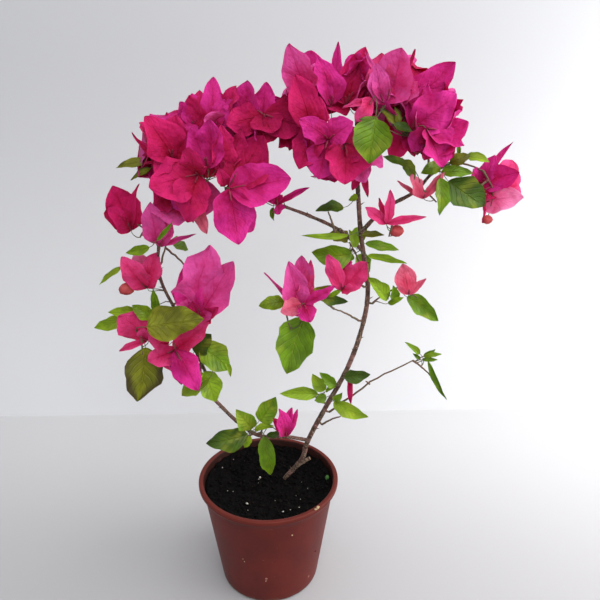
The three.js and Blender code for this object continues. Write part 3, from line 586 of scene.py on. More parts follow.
# Leaves in front, by mass: their foot, tip, width and tint
FRONT_LEAVES = {
    "upper_left_head": [
        ((-96, -20, 469), (-125, -18, 464), 9, "olive_green"),
        ((-95, -26, 464), (-112, -26, 454), 7, "bronze_green"),
    ],
    "left_side_lower_spray": [
        ((-129, -18, 373), (-152, -16, 358), 6, "lime_green"),
        ((-100, -30, 331), (-100, -30, 355), 8, "mid_green"),
    ],
    "left_side_upper_spray": [
        ((-101, -30, 395), (-121, -30, 389), 9, "lime_green"),
        ((-90, -52, 408), (-74, -56, 423), 4, "mid_green"),
    ],
    "left_mid_spray": [
        ((-106, -50, 327), (-56, -56, 335), 32, "olive_green"),
        ((-111, -38, 301), (-115, -42, 248), 36, "bronze_green"),
        ((-114, -26, 331), (-144, -24, 330), 12, "lime_green"),
        ((-103, -34, 329), (-119, -32, 343), 14, "lime_green"),
        ((-128, -22, 325), (-158, -20, 309), 13, "lime_green"),
    ],
    "left_low_spray": [
        ((-68, -28, 290), (-51, -26, 306), 21, "deep_green"),
        ((-62, -26, 295), (-34, -24, 272), 27, "mid_green"),
        ((-40, -24, 281), (-32, -24, 262), 5, "lime_green"),
        ((-54, -40, 268), (-80, -42, 251), 26, "lime_green"),
        ((-59, -34, 272), (-50, -36, 241), 23, "lime_green"),
    ],
    "fork_left_spray": [
        ((70, -36, 430), (45, -38, 427), 11, "deep_green"),
        ((75, -36, 405), (35, -40, 402), 6, "lime_green"),
        ((81, -20, 382), (44, -16, 379), 22, "mid_green"),
        ((83, -28, 391), (76, -28, 407), 9, "lime_green"),
        ((83, -28, 439), (75, -28, 435), 6, "lime_green"),
    ],
    "fork_right_spray": [
        ((92, -26, 394), (122, -28, 388), 9, "mid_green"),
        ((94, -28, 383), (129, -30, 378), 7, "lime_green"),
        ((88, -28, 402), (108, -28, 402), 7, "olive_green"),
    ],
    "mid_right_spray": [
        ((115, -26, 339), (92, -28, 359), 14, "lime_green"),
        ((123, -26, 337), (119, -28, 353), 9, "mid_green"),
        ((116, -24, 334), (130, -28, 341), 6, "lime_green"),
        ((133, -26, 341), (166, -28, 323), 17, "mid_green"),
    ],
    "mid_left_spray": [
        ((40, -34, 351), (61, -32, 356), 4, "olive_green"),
        ((51, -30, 345), (76, -28, 337), 11, "deep_green"),
        ((58, -34, 347), (72, -34, 355), 5, "lime_green"),
        ((18, -30, 340), (-6, -30, 337), 14, "lime_green"),
        ((36, -34, 326), (16, -38, 273), 36, "mid_green"),
    ],
    "arch_head": [
        ((9, -28, 429), (8, -28, 417), 5, "mid_green"),
    ],
    "top_right_head": [
        ((90, -66, 508), (86, -74, 475), 31, "mid_green"),
        ((111, -44, 502), (97, -42, 513), 7, "bronze_green"),
        ((112, -44, 502), (111, -40, 515), 7, "bronze_green"),
        ((108, -48, 502), (123, -50, 496), 8, "deep_green"),
        ((95, -56, 502), (79, -58, 509), 9, "deep_green"),
    ],
    "right_bough_spray": [
        ((123, -40, 467), (102, -42, 473), 8, "deep_green"),
        ((120, -38, 471), (131, -42, 456), 10, "deep_green"),
        ((152, -36, 465), (135, -40, 461), 12, "mid_green"),
        ((153, -36, 455), (156, -38, 423), 14, "mid_green"),
    ],
    "right_end_spray": [
        ((162, -30, 451), (192, -34, 424), 29, "deep_green"),
        ((156, -26, 458), (183, -30, 458), 11, "mid_green"),
        ((164, -24, 465), (181, -26, 473), 11, "olive_green"),
        ((178, -22, 470), (199, -24, 467), 9, "lime_green"),
        ((172, -20, 472), (172, -20, 482), 4, "mid_green"),
    ],
    "low_centre_spray": [
        ((-15, -28, 204), (-29, -28, 228), 19, "mid_green"),
        ((-8, -28, 212), (11, -26, 234), 21, "mid_green"),
        ((-20, -30, 198), (-60, -34, 189), 23, "deep_green"),
        ((-17, -30, 196), (-24, -30, 183), 8, "lime_green"),
        ((-4, -34, 198), (8, -36, 155), 18, "mid_green"),
        ((-13, -30, 203), (6, -30, 209), 7, "lime_green"),
        ((-1, -28, 195), (16, -28, 198), 7, "deep_green"),
    ],
    "low_left_sprig": [
        ((50, -28, 241), (14, -32, 246), 13, "lime_green"),
        ((56, -28, 244), (44, -28, 262), 13, "lime_green"),
        ((68, -26, 249), (51, -26, 261), 11, "mid_green"),
        ((59, -26, 236), (47, -28, 235), 10, "mid_green"),
        ((58, -26, 242), (67, -28, 249), 5, "lime_green"),
    ],
    "low_right_sprig": [
        ((66, -28, 232), (97, -34, 213), 16, "lime_green"),
        ((66, -28, 233), (74, -30, 242), 8, "mid_green"),
    ],
    "low_right_spray": [
        ((76, -28, 258), (100, -30, 263), 14, "deep_green"),
        ((149, -28, 282), (133, -28, 295), 6, "mid_green"),
        ((152, -28, 279), (171, -28, 280), 5, "lime_green"),
        ((151, -30, 277), (165, -32, 279), 5, "mid_green"),
        ((153, -28, 280), (164, -26, 286), 5, "mid_green"),
        ((157, -30, 275), (176, -30, 232), 6, "mid_green"),
        ((149, -28, 277), (142, -28, 283), 4, "mid_green"),
    ],
}

# Closed buds, by mass: their middle and width
BUDS = {
    "left_side_lower_spray": ((-126, -24, 354), 14),
    "fork_right_spray": ((118, -32, 407), 13),
    "right_end_spray": ((202, -24, 414), 10),
}

# The camera stands in front of the plant, above it, and looks down a little to the right.
CAMERA_PLACE = np.array((0, -606.5, 574.65))
CAMERA_PITCH = 0.3834
CAMERA_YAW = 0.0562
CAMERA_FIELD = math.radians(48)

# Openings in the crown as the camera sees them: a point in each, and its radius there
OPENINGS = [
    (62, -15, 507, 9), (75, -15, 504, 9), (13, -15, 476, 14), (28, -15, 461, 10), (-41, -30, 451, 6),
    (-47, -30, 431, 9), (132, -30, 472, 5), (19, -15, 538, 9), (-120, -20, 472, 14), (-113, -20, 508, 10),
    (-89, -20, 522, 10), (180, -20, 514, 10), (-112, -20, 490, 12), (8, -20, 542, 8), (129, -20, 568, 7),
    (175, -20, 526, 8), (115, -30, 460, 8), (-43, -28, 313, 5), (132, -25, 549, 9), (12, -20, 530, 9),
]


# Shader maths


def srgb(red, green, blue):
    """A colour given as 0 to 255, in the linear numbers that a shader reads."""
    shares = [channel / 255 for channel in (red, green, blue)]
    return (*[s / 12.92 if s <= 0.04045 else ((s + 0.055) / 1.055) ** 2.4 for s in shares], 1)


class Value:
    """A number that a material's nodes work out."""

    def __init__(self, finish, socket):
        self.finish = finish
        self.socket = socket

    def maths(self, operation, *operands):
        return self.finish.node("ShaderNodeMath", {"operation": operation}, dict(enumerate(operands)))

    def __add__(self, other):
        return self.maths("ADD", self, other)

    __radd__ = __add__

    def __sub__(self, other):
        return self.maths("SUBTRACT", self, other)

    def __rsub__(self, other):
        return self.maths("SUBTRACT", other, self)

    def __mul__(self, other):
        return self.maths("MULTIPLY", self, other)

    __rmul__ = __mul__

    def __abs__(self):
        return self.maths("ABSOLUTE", self)

    def fraction(self):
        return self.maths("FRACT", self)

    def between(self, low, high):
        """Rises smoothly from 0 at the low value to 1 at the high one."""
        inputs = {"Value": self, "From Min": low, "From Max": high}
        return self.finish.node("ShaderNodeMapRange", {"interpolation_type": "SMOOTHSTEP"}, inputs)


class Finish:
    """A material under construction."""

    def __init__(self, name, **constants):
        self.material = bpy.data.materials.new(name)
        self.material.use_nodes = True
        self.tree = self.material.node_tree
        self.shader = self.tree.nodes["Principled BSDF"]
        for socket, value in constants.items():
            self.shader.inputs[socket.replace("_", " ")].default_value = value

    def feed(self, socket, value):
        if isinstance(value, Value):
            self.tree.links.new(value.socket, socket)
        else:
            socket.default_value = value

    def node(self, kind, settings=None, inputs=None, output=0):
        made = self.tree.nodes.new(kind)
        for name, value in (settings or {}).items():
            setattr(made, name, value)
        for name, value in (inputs or {}).items():
            self.feed(made.inputs[name], value)
        return Value(self, made.outputs[output])

    def place(self):
        """Object coordinates, in metres."""
        return self.node("ShaderNodeTexCoord", output="Object")

    def part(self, vector, axis):
        """One part of a vector: 0 for x, 1 for y and 2 for z."""
        return self.node("ShaderNodeSeparateXYZ", {}, {0: vector}, axis)

    def stretched(self, vector, scale):
        return self.node("ShaderNodeMapping", {}, {"Vector": vector, "Scale": scale})

    def noise(self, vector, scale, detail=3, roughness=0.55):
        inputs = {"Vector": vector, "Scale": scale, "Detail": detail, "Roughness": roughness}
        return self.node("ShaderNodeTexNoise", {}, inputs)

    def specks(self, vector, scale, size):
        """1 inside scattered round specks, 0 elsewhere."""
        distance = self.node("ShaderNodeTexVoronoi", {}, {"Vector": vector, "Scale": scale}, "Distance")
        return 1 - distance.between(size * 0.6, size)

    def blend(self, share, first, second):
        """The first colour where the share is 0, and the second where it is 1."""
        inputs = {"Factor": share, 6: first, 7: second}
        return self.node("ShaderNodeMix", {"data_type": "RGBA"}, inputs, 2)

    def on_blade(self):
        """The place across a blade, from 0 at the midrib to 1 at its edge, and along it."""
        place = self.node("ShaderNodeUVMap", {"uv_map": "blade"})
        across, along = self.part(place, 0), self.part(place, 1)
        return abs(across * 2 - 1), along

    def dress(self, colour, roughness, bump=None, depth=0.001, strength=1.0):
        """Gives the surface its colour, its roughness and a relief of the given depth in metres."""
        self.feed(self.shader.inputs["Base Color"], colour)
        self.feed(self.shader.inputs["Roughness"], roughness)
        if bump is not None:
            inputs = {"Height": bump, "Distance": depth, "Strength": strength}
            self.feed(self.shader.inputs["Normal"], self.node("ShaderNodeBump", {}, inputs))
        return self.material

    def glow_through(self, colour, share):
        """Lets a fixed share of the light pass through in the given colour."""
        nodes = self.tree.nodes
        through = nodes.new("ShaderNodeBsdfTranslucent")
        through.inputs["Color"].default_value = colour
        both = nodes.new("ShaderNodeMixShader")
        both.inputs[0].default_value = share
        self.tree.links.new(self.shader.outputs[0], both.inputs[1])
        self.tree.links.new(through.outputs[0], both.inputs[2])
        self.tree.links.new(both.outputs[0], nodes["Material Output"].inputs["Surface"])
        return self.material


# Materials

SIDE_VEINS = 7
VEIN_SLANT = 0.315
MIDRIB_WIDTH = 0.06
BRACT_GLOW = 0.42
LEAF_GLOW = 0.3


def side_veins(finish, across, along):
    """1 on the veins that leave the midrib towards the tip, 0 between them."""
    wander = finish.noise(finish.place(), 120, 1) * 0.08
    ramp = (along - across * VEIN_SLANT + wander) * SIDE_VEINS
    return (1 - abs(ramp.fraction() * 2 - 1).between(0.0, 0.3)) * (1 - across.between(0.75, 1.0))


def midrib_line(across, along, fading, faded):
    """1 on the midrib, which fades between two places along the blade."""
    return (1 - across.between(0.0, MIDRIB_WIDTH)) * (1 - along.between(fading, faded))


def bract_finish(name, edge, heart, through):
    """Papery bract: deep colour at its foot and along its veins, paler towards the edge, partly a painted
    highlight.
    """
    finish = Finish(name, Sheen_Weight=0.05, Specular_IOR_Level=0.14)
    across, along = finish.on_blade()
    place = finish.place()
    cloud = finish.noise(place, 60, 2)
    streaks = finish.noise(place, 300, 3, 0.6)
    mottle = finish.noise(place, 150, 2)
    # Paler towards the tip and edge: partly the bract's own tone, partly a painted highlight where light
    # grazes the edge.
    outer = (along * 0.8 + across * 0.5 + cloud * 1.1 + streaks * 0.3 + mottle * 0.6).between(0.85, 2.2)
    veins = side_veins(finish, across, along)
    midrib = midrib_line(across, along, 0.6, 0.95)
    lines = (veins * 0.13 + midrib * 0.4).between(0, 1)
    colour = finish.blend(lines, finish.blend(outer, heart, edge), heart)
    pleats = abs((across * 3.4 + cloud * 2.2).fraction() * 2 - 1)
    folds = finish.noise(place, 70, 3) * 2.2 + streaks * 0.3 + pleats * 0.12
    relief = folds - veins * 0.12 - midrib * 0.3
    finish.dress(colour, 0.5 + cloud * 0.2, relief, 0.0024, 0.8)
    return finish.glow_through(through, BRACT_GLOW)


def leaf_finish(name, blade, vein, through, scorch=0.0):
    """Waxy leaf with paler veins, a faint quilting between them and perhaps a scorched edge."""
    finish = Finish(name, Specular_IOR_Level=0.35)
    across, along = finish.on_blade()
    place = finish.place()
    veins = side_veins(finish, across, along)
    midrib = midrib_line(across, along, 0.8, 1.0)
    cloud = finish.noise(place, 70, 2)
    darker = tuple(channel * 0.5 for channel in blade[:3]) + (1,)
    fresh = finish.blend(cloud.between(0.3, 0.7), darker, blade)
    yellowing = finish.noise(place, 45, 2).between(0.5, 0.72) * 0.5
    ground = finish.blend(yellowing, fresh, srgb(178, 184, 52))
    veined = finish.blend((veins * 0.35 + midrib * 0.6).between(0, 1), ground, vein)
    blotch = (across + along * 0.5 + cloud * 1.2).between(1.1, 1.8)
    colour = finish.blend(blotch * scorch, veined, srgb(58, 42, 26))
    relief = 1 - veins * 0.5 - midrib * 0.8 + finish.noise(place, 300, 2) * 0.25
    finish.dress(colour, 0.36 + cloud * 0.16, relief, 0.0014, 0.8)
    return finish.glow_through(through, LEAF_GLOW)


def stem_finish(name, young, old, roughness):
    """Thin green or reddish stem in two mottled tones."""
    finish = Finish(name)
    place = finish.place()
    cloud = finish.noise(place, 130, 3)
    colour = finish.blend(cloud.between(0.35, 0.65), young, old)
    return finish.dress(colour, roughness, finish.noise(place, 900, 2), 0.0003, 0.5)


def bark_finish():
    """Grey-brown bark with purplish new wood, pale pores and fine cracks that run along it."""
    finish = Finish("bark", Specular_IOR_Level=0.3)
    place = finish.place()
    grain = finish.noise(finish.stretched(place, (1, 1, 0.16)), 900, 4, 0.6)
    cloud = finish.noise(place, 55, 3)
    pores = finish.specks(place, 420, 0.3)
    brown = finish.blend(grain.between(0.35, 0.68), srgb(54, 40, 34), srgb(114, 92, 75))
    wood = finish.blend(cloud.between(0.42, 0.62), brown, srgb(112, 78, 72))
    colour = finish.blend(pores * 0.55, wood, srgb(168, 148, 124))
    relief = grain + pores * 0.5 + finish.noise(place, 300, 3) * 0.8
    return finish.dress(colour, 0.72 + grain * 0.2, relief, 0.0007, 0.8)


def cut_wood_finish():
    """Pale sawn end of the stub."""
    finish = Finish("cut_wood", Roughness=0.9)
    rings = finish.noise(finish.place(), 1100, 2)
    colour = finish.blend(rings.between(0.3, 0.7), srgb(170, 140, 105), srgb(120, 92, 68))
    return finish.dress(colour, 0.9, rings, 0.0003, 0.5)


def pot_finish():
    """Moulded brick-red plastic: faintly mottled, scuffed, stained at its foot; painted highlight on the lip,
    painted shade inside.
    """
    finish = Finish("terracotta_plastic", Specular_IOR_Level=0.2)
    place = finish.place()
    height = finish.part(place, 2)
    flat = finish.node("ShaderNodeVectorMath", {"operation": "MULTIPLY"}, {0: place, 1: (1, 1, 0)})
    radius = finish.node("ShaderNodeVectorMath", {"operation": "LENGTH"}, {0: flat}, 1)
    inner = 1 - (radius - height * WALL_SLOPE).between((BASE_RADIUS - 1.2) * MM, (BASE_RADIUS - 0.6) * MM)
    cloud = finish.noise(place, 28, 3)
    fine = finish.noise(place, 420, 3)
    streaks = finish.noise(finish.stretched(place, (1, 1, 0.35)), 150, 4, 0.65)
    body = finish.blend(cloud.between(0.3, 0.7), srgb(81, 22, 17), srgb(96, 29, 22))
    # Painted highlight: the top few millimetres of the pot, its lip, are tinted lighter and more orange.
    lip_highlight = height.between((POT_HEIGHT - 5.5) * MM, (POT_HEIGHT - 1.5) * MM) * 0.4
    lip = finish.blend(lip_highlight, body, srgb(96, 34, 20))
    foot = (1 - height.between(0.5 * MM, 7 * MM)) * streaks.between(0.35, 0.6) * 0.75
    depth = height * -1 + streaks * 0.012
    # Painted shade: the inside of the wall below the lip is darkened to a deep brown, standing for the shade
    # inside the pot.
    soil = inner * depth.between((2.5 - POT_HEIGHT) * MM, (8.5 - POT_HEIGHT) * MM) * 0.92
    inner_shaded = finish.blend(soil, lip, srgb(38, 20, 16))
    stained = finish.blend(foot, inner_shaded, srgb(104, 84, 68))
    scuffs = (finish.specks(place, 46, 0.1) * streaks.between(0.5, 0.62)) * 0.7
    scratches = finish.noise(finish.stretched(place, (0.5, 0.5, 2.4)), 210, 3, 0.7).between(0.7, 0.76) * 0.35
    colour = finish.blend(scuffs + scratches, stained, srgb(186, 140, 124))
    return finish.dress(colour, 0.42 + cloud * 0.14 + scuffs * 0.25, fine + streaks * 0.5, 0.0003, 0.25)


def compost_finish(name, dark, light):
    """Dull damp peat."""
    finish = Finish(name, Specular_IOR_Level=0.08)
    place = finish.place()
    grain = finish.noise(place, 320, 5, 0.7)
    colour = finish.blend(grain.between(0.42, 0.72), dark, light)
    relief = grain + finish.noise(place, 90, 3)
    return finish.dress(colour, 0.86 + grain * 0.1, relief, 0.0025, 0.9)


def speck_finish(name, pale, shade):
    """Matt surface of a small bit that lies about."""
    finish = Finish(name)
    grain = finish.noise(finish.place(), 900, 2)
    return finish.dress(finish.blend(grain, pale, shade), 0.85, grain, 0.0004, 0.6)


def finishes_of(make, **looks):
    """One finish of a kind for each name, from its colours and what else it takes."""
    return {name: make(name, *look) for name, look in looks.items()}


# A bract's colours are at its edge, at its heart and of light that shines through. A leaf's are its blade's,
# its veins' and of light that shines through, and the last number is how scorched its edge is.
FINISHES = {
    **finishes_of(
        bract_finish,
        magenta=(srgb(228, 52, 160), srgb(184, 8, 78), srgb(216, 20, 100)),
        violet_pink=(srgb(238, 96, 184), srgb(198, 24, 102), srgb(228, 46, 124)),
        crimson=(srgb(220, 36, 116), srgb(174, 3, 52), srgb(208, 8, 62)),
        # A darker copy of crimson: painted shade, for bracts that sit in shade.
        ruby=(srgb(202, 24, 98), srgb(154, 2, 44), srgb(188, 5, 52)),
        rose=(srgb(238, 80, 150), srgb(206, 20, 84), srgb(228, 40, 100)),
        salmon=(srgb(238, 126, 156), srgb(214, 66, 102), srgb(230, 94, 120)),
        blush=(srgb(244, 156, 204), srgb(222, 82, 140), srgb(238, 122, 168)),
        bud=(srgb(222, 112, 114), srgb(158, 44, 50), srgb(212, 80, 84)),
    ),
    **finishes_of(
        leaf_finish,
        mid_green=(srgb(122, 160, 16), srgb(150, 176, 52), srgb(134, 178, 4)),
        lime_green=(srgb(150, 182, 26), srgb(180, 200, 70), srgb(166, 200, 10)),
        deep_green=(srgb(76, 106, 18), srgb(112, 132, 44), srgb(90, 128, 6)),
        olive_green=(srgb(128, 130, 22), srgb(150, 150, 50), srgb(138, 138, 6)),
        bronze_green=(srgb(146, 152, 20), srgb(164, 166, 54), srgb(140, 130, 8), 0.9),
    ),
    **finishes_of(
        stem_finish,
        stalk=(srgb(70, 92, 44), srgb(92, 66, 52), 0.6),
        shoot=(srgb(96, 84, 58), srgb(108, 76, 62), 0.7),
        tube=(srgb(132, 14, 50), srgb(96, 22, 38), 0.6),
    ),
    "bark": bark_finish(),
    "cut_wood": cut_wood_finish(),
    "pot": pot_finish(),
    **finishes_of(
        compost_finish,
        compost=(srgb(4, 3, 3), srgb(16, 12, 11)),
        crumb=(srgb(6, 5, 5), srgb(26, 20, 17)),
    ),
    **finishes_of(
        speck_finish,
        perlite=(srgb(205, 200, 190), srgb(150, 142, 130)),
        fallen_leaf=(srgb(64, 112, 40), srgb(36, 78, 26)),
        debris=(srgb(196, 172, 132), srgb(140, 112, 80)),
    ),
}


# Lines and directions


def unit(vector):
    return vector / np.linalg.norm(vector)


def square(vector, along):
    """The unit vector nearest to the given one that is square to a direction."""
    return unit(vector - along * np.dot(vector, along))


def part_way(low, high, share):
    return low + (high - low) * share


def sideways(along):
    """A unit vector square to the given one, as near to level as it can be."""
    up = np.array((0, 0, 1.0)) if abs(along[2]) < 0.9 else np.array((0, 1.0, 0))
    return unit(np.cross(up, along))


def smooth_line(points, steps):
    """Points along a smooth line through the given ones."""
    points = [np.array(point, float) for point in points]
    ends = [2 * points[0] - points[1], *points, 2 * points[-1] - points[-2]]
    t = np.arange(steps)[:, None] / steps
    spans = []
    for before, start, end, beyond in zip(ends, ends[1:], ends[2:], ends[3:]):
        slope_in, slope_out = (end - before) / 2, (beyond - start) / 2
        spans.append(
            start * (2 * t**3 - 3 * t**2 + 1)
            + slope_in * (t**3 - 2 * t**2 + t)
            + end * (3 * t**2 - 2 * t**3)
            + slope_out * (t**3 - t**2)
        )
    return np.vstack([*spans, points[-1]])


def lengths_along(line):
    """The distance of each point of a line from its start, along it."""
    return np.concatenate([[0], np.cumsum(np.linalg.norm(np.diff(line, axis=0), axis=1))])


def frames_along(line):
    """At each point of a line: its direction and two sides square to it, without twist."""
    side = None
    frames = []
    for i in range(len(line)):
        along = unit(line[min(i + 1, len(line) - 1)] - line[max(i - 1, 0)])
        side = sideways(along) if side is None else square(side, along)
        frames.append((along, side, np.cross(along, side)))
    return frames


# Limbs


@dataclass
class Limb:
    """A limb's middle line and its radius at each point of it."""

    line: np.ndarray
    radii: np.ndarray


def place_on(limb, height):
    """The point, radius and direction of a limb where it reaches a height, or at its tip."""
    heights = limb.line[:, 2]
    above = [] if height is None else np.nonzero(heights >= height)[0]
    i = above[0] if len(above) and above[0] > 0 else len(heights) - 1
    share = 1 if height is None else (height - heights[i - 1]) / (heights[i] - heights[i - 1])
    point = part_way(limb.line[i - 1], limb.line[i], share)
    radius = part_way(limb.radii[i - 1], limb.radii[i], share)
    return point, radius, unit(limb.line[i] - limb.line[i - 1])


def grown_limbs(steps):
    """Every limb, from its place on its parent, with so many steps between two points of its route."""
    limbs = {}
    for name, row in LIMBS.items():
        route = list(row["route"])
        if "parent" in row:
            route.insert(0, place_on(limbs[row["parent"]], row.get("height"))[0])
        line = smooth_line(route, steps)
        radii = np.linspace(row["foot"], row["tip"], len(line))
        if "parent" not in row:
            radii = radii - WAIST * np.exp(-np.maximum(line[:, 2] - SOIL_LEVEL, 0) / WAIST_HEIGHT)
        limbs[name] = Limb(line, radii)
    return limbs


limbs = grown_limbs(STEPS_PER_SPAN)
SPAN_STARTS = np.vstack([limb.line[:-1] for limb in limbs.values()])
SPAN_ENDS = np.vstack([limb.line[1:] for limb in limbs.values()])
SPAN_RADII = np.concatenate([limb.radii[:-1] for limb in limbs.values()])


def clear_of_limbs(points, clearance):
    """Whether every point keeps a clearance from all limbs."""
    spans = SPAN_ENDS - SPAN_STARTS
    offsets = points[:, None] - SPAN_STARTS
    shares = np.clip(np.sum(offsets * spans, axis=2) / np.sum(spans * spans, axis=1), 0, 1)
    distances = np.linalg.norm(offsets - shares[:, :, None] * spans, axis=2)
    return bool(np.all(distances > SPAN_RADII + clearance))


# Blades: leaves and bracts


@dataclass
class Blade:
    """One leaf or bract: its foot, where it points and faces, and its own width if it has one."""

    base: np.ndarray
    along: np.ndarray
    normal: np.ndarray
    length: float
    kind: Kind
    tint: str
    width: float = 0


def lay_out(base, *parts):
    """The base moved by amounts along directions, for arrays of amounts."""
    return base + sum(np.outer(amounts, direction) for amounts, direction in parts)


def outline(kind, v):
    """Half the width of a blade along it, as a share of the widest half."""
    peak = kind.swell / (kind.swell + kind.point)
    return v**kind.swell * (1 - v) ** kind.point / (peak**kind.swell * (1 - peak) ** kind.point)


def half_width(blade, v):
    return (blade.width or blade.length * blade.kind.width) * outline(blade.kind, v) / 2


def arch(bend, v):
    """How far an evenly bent line has come, along its chord and off it, as shares of its length."""
    rise, turn = bend / 2, bend * (0.5 - v)
    return (np.sin(rise) - np.sin(turn)) / bend, (np.cos(turn) - np.cos(rise)) / bend


def on_blade(blade, u, v):
    """Points on a plain blade: v runs from its base to its tip, and u from edge to edge."""
    kind = blade.kind
    half = half_width(blade, v)
    forward, height = arch(kind.bend, v)
    return lay_out(
        blade.base,
        (blade.length * forward, blade.along),
        (u * half, np.cross(blade.along, blade.normal)),
        (blade.length * height + kind.cup * half * u * u, blade.normal),
    )


def swing(turns):
    """A wave that repeats with each whole turn."""
    return np.sin(2 * np.pi * turns)


def ruffled(blade, u, v, fine):
    """Points on a blade as it grew: its own bend, fold, twist, dents and wavy edge."""
    kind = blade.kind
    bend = fine.uniform(*kind.bends)
    bend = math.copysign(max(abs(bend), LEAST_BEND), bend)
    fold = fine.uniform(*kind.folds)
    ruffle = kind.ruffle * fine.uniform(*RUFFLING)
    waves, lobes = fine.uniform(*EDGE_WAVES), fine.uniform(*EDGE_LOBES)
    shift, start, other = fine.uniform(0, 1, 3)
    twist, sway = fine.normal(0, TWIST), fine.normal(0, SWAY)
    dent = kind.dent * blade.length * fine.uniform(*DENTING)
    rows, columns = fine.uniform(*DENT_ROWS), fine.uniform(*DENT_COLUMNS)
    side, out = np.sign(u), np.abs(u)
    crinkle = 0.3 * swing(3.1 * lobes * v + start - 0.2 * side)
    edge = 1 + EDGE_DEPTH * (swing(lobes * v + other + 0.37 * side) + crinkle) * out
    half = half_width(blade, v) * edge
    forward, height = arch(bend, v)
    wave = swing(waves * v + start + (0.25 + 0.5 * shift) * side)
    small = 0.25 * swing(1.9 * waves * v + other - 0.3 * side)
    lift = half * (kind.cup * u * u + fold * out + ruffle * out**1.6 * 2 * (wave + small))
    lift = lift + dent * swing(rows * v + start + 0.3 * u) * swing(columns * u + shift)
    angle = twist * (v - 0.3)
    aside = u * half * np.cos(angle) - lift * np.sin(angle) + sway * blade.length * v * v
    raised = u * half * np.sin(angle) + lift * np.cos(angle) + blade.length * height
    across = np.cross(blade.along, blade.normal)
    return lay_out(blade.base, (blade.length * forward, blade.along), (aside, across), (raised, blade.normal))


# Lobes of the crown

LOBE_CENTRES = np.array([lobe.centre for mass in MASSES.values() for lobe in mass.lobes])
LOBE_SIZES = np.array([lobe.size for mass in MASSES.values() for lobe in mass.lobes])


def edge_of(lobe, direction):
    """How far a lobe reaches from its centre in a direction."""
    return 1 / np.linalg.norm(direction / lobe.size)


def within_crown(points):
    """Whether every point lies in one of the crown's lobes."""
    offsets = (points[:, None] - LOBE_CENTRES) / LOBE_SIZES
    return bool(np.all(np.min(np.linalg.norm(offsets, axis=2), axis=1) < 1))


def clear_of_openings(points):
    """Whether no point hides one of the openings through which the wall shows."""
    for x, y, z, radius in OPENINGS:
        view = unit(np.array((x, y, z)) - CAMERA_PLACE)
        offsets = points - CAMERA_PLACE
        across = offsets - np.outer(offsets @ view, view)
        if np.any(np.linalg.norm(across, axis=1) < radius):
            return False
    return True


def fits(blade):
    points = on_blade(blade, PROBES_U, PROBES_V)
    return within_crown(points) and clear_of_limbs(points, LIMB_CLEARANCE) and clear_of_openings(points)


def seeded(seed):
    """A repeatable run of numbers from 0 to 1, the same as in the part's source."""
    state = seed * 7919
    while True:
        state = (state * 1664525 + 1013904223) % 2**32
        yield state / 2**32


def spiral_direction(i, count, turn):
    """Even directions over a sphere, one for each of a count."""
    level = 1 - 2 * (i + 0.5) / count
    radius = math.sqrt(1 - level * level)
    angle = i * GOLDEN_ANGLE + turn
    return np.array((radius * math.cos(angle), radius * math.sin(angle), level))


def twig_line(start, end, steps):
    """A twig from one point to another that bows a little upwards."""
    t = np.linspace(0, 1, steps + 1)[:, None]
    line = start + (end - start) * t
    line[:, 2] += np.linalg.norm(end - start) * TWIG_BOW * 4 * (t * (1 - t))[:, 0]
    return line


def nearest_on(lines, place):
    """The point of some lines that lies nearest to a place."""
    found = []
    for line in lines:
        found.append(line[0])
        for start, end in zip(line, line[1:]):
            span = end - start
            share = np.clip(np.dot(place - start, span) / np.dot(span, span), 0, 1)
            found.append(start + span * share)
    return min(found, key=lambda point: np.linalg.norm(point - place))


def stalk_to(shoots, end, ahead):
    """A curved stalk from the nearest shoot that ends in the given direction."""
    starts = np.vstack([line[:-1] for line in shoots])
    ends = np.vstack([line[1:] for line in shoots])
    roots = np.vstack([starts + (ends - starts) * share for share in ROOT_PLACES])
    spans = np.vstack([ends - starts] * len(ROOT_PLACES))
    gaps = end - ahead * STALK - roots
    distances = np.linalg.norm(gaps, axis=1)
    turns = gaps @ ahead / distances
    t = np.linspace(0, 1, STALK_STEPS + 1)[:, None]
    tried = []
    for nearest in np.argsort(distances * (STALK_NEARNESS - turns))[:STALK_CHOICES]:
        pull = np.linalg.norm(end - roots[nearest])
        leaving = unit(unit(spans[nearest]) + unit(gaps[nearest]))
        for bow in STALK_BOWS:
            line = (
                roots[nearest] * (1 - t) ** 3
                + (roots[nearest] + leaving * pull * bow) * 3 * t * (1 - t) ** 2
                + (end - ahead * pull * bow) * 3 * t * t * (1 - t)
                + end * t**3
            )
            if within_crown(line[1:]) and clear_of_openings(line[:-1]):
                return line
            tried.append(line)
    return tried[0]


def bracts_of(base, axis, spin, length, lean, tint):
    """Three bracts around the axis of a bloom."""
    side = sideways(axis)
    other = np.cross(axis, side)
    ahead, apart = math.cos(lean), math.sin(lean)
    bracts = []
    for k in range(BRACTS_PER_BLOOM):
        angle = spin + 2 * math.pi * k / BRACTS_PER_BLOOM
        outward = side * math.cos(angle) + other * math.sin(angle)
        along = axis * ahead + outward * apart
        bracts.append(Blade(base, along, axis * apart - outward * ahead, length, BRACT, tint))
    return bracts


class Crown:
    """All that the masses bear."""

    def __init__(self):
        self.twigs = []
        self.bracts = []
        self.leaves = []
        self.tubes = []
        self.buds = []

    def hang(self, wood, end, ahead):
        self.twigs.append(("stalk", stalk_to(wood, end, ahead), STALK_RADIUS))


def chosen(tints, fine):
    """One of some tints, each as likely as its share."""
    return str(fine.choice(list(tints), p=list(tints.values())))


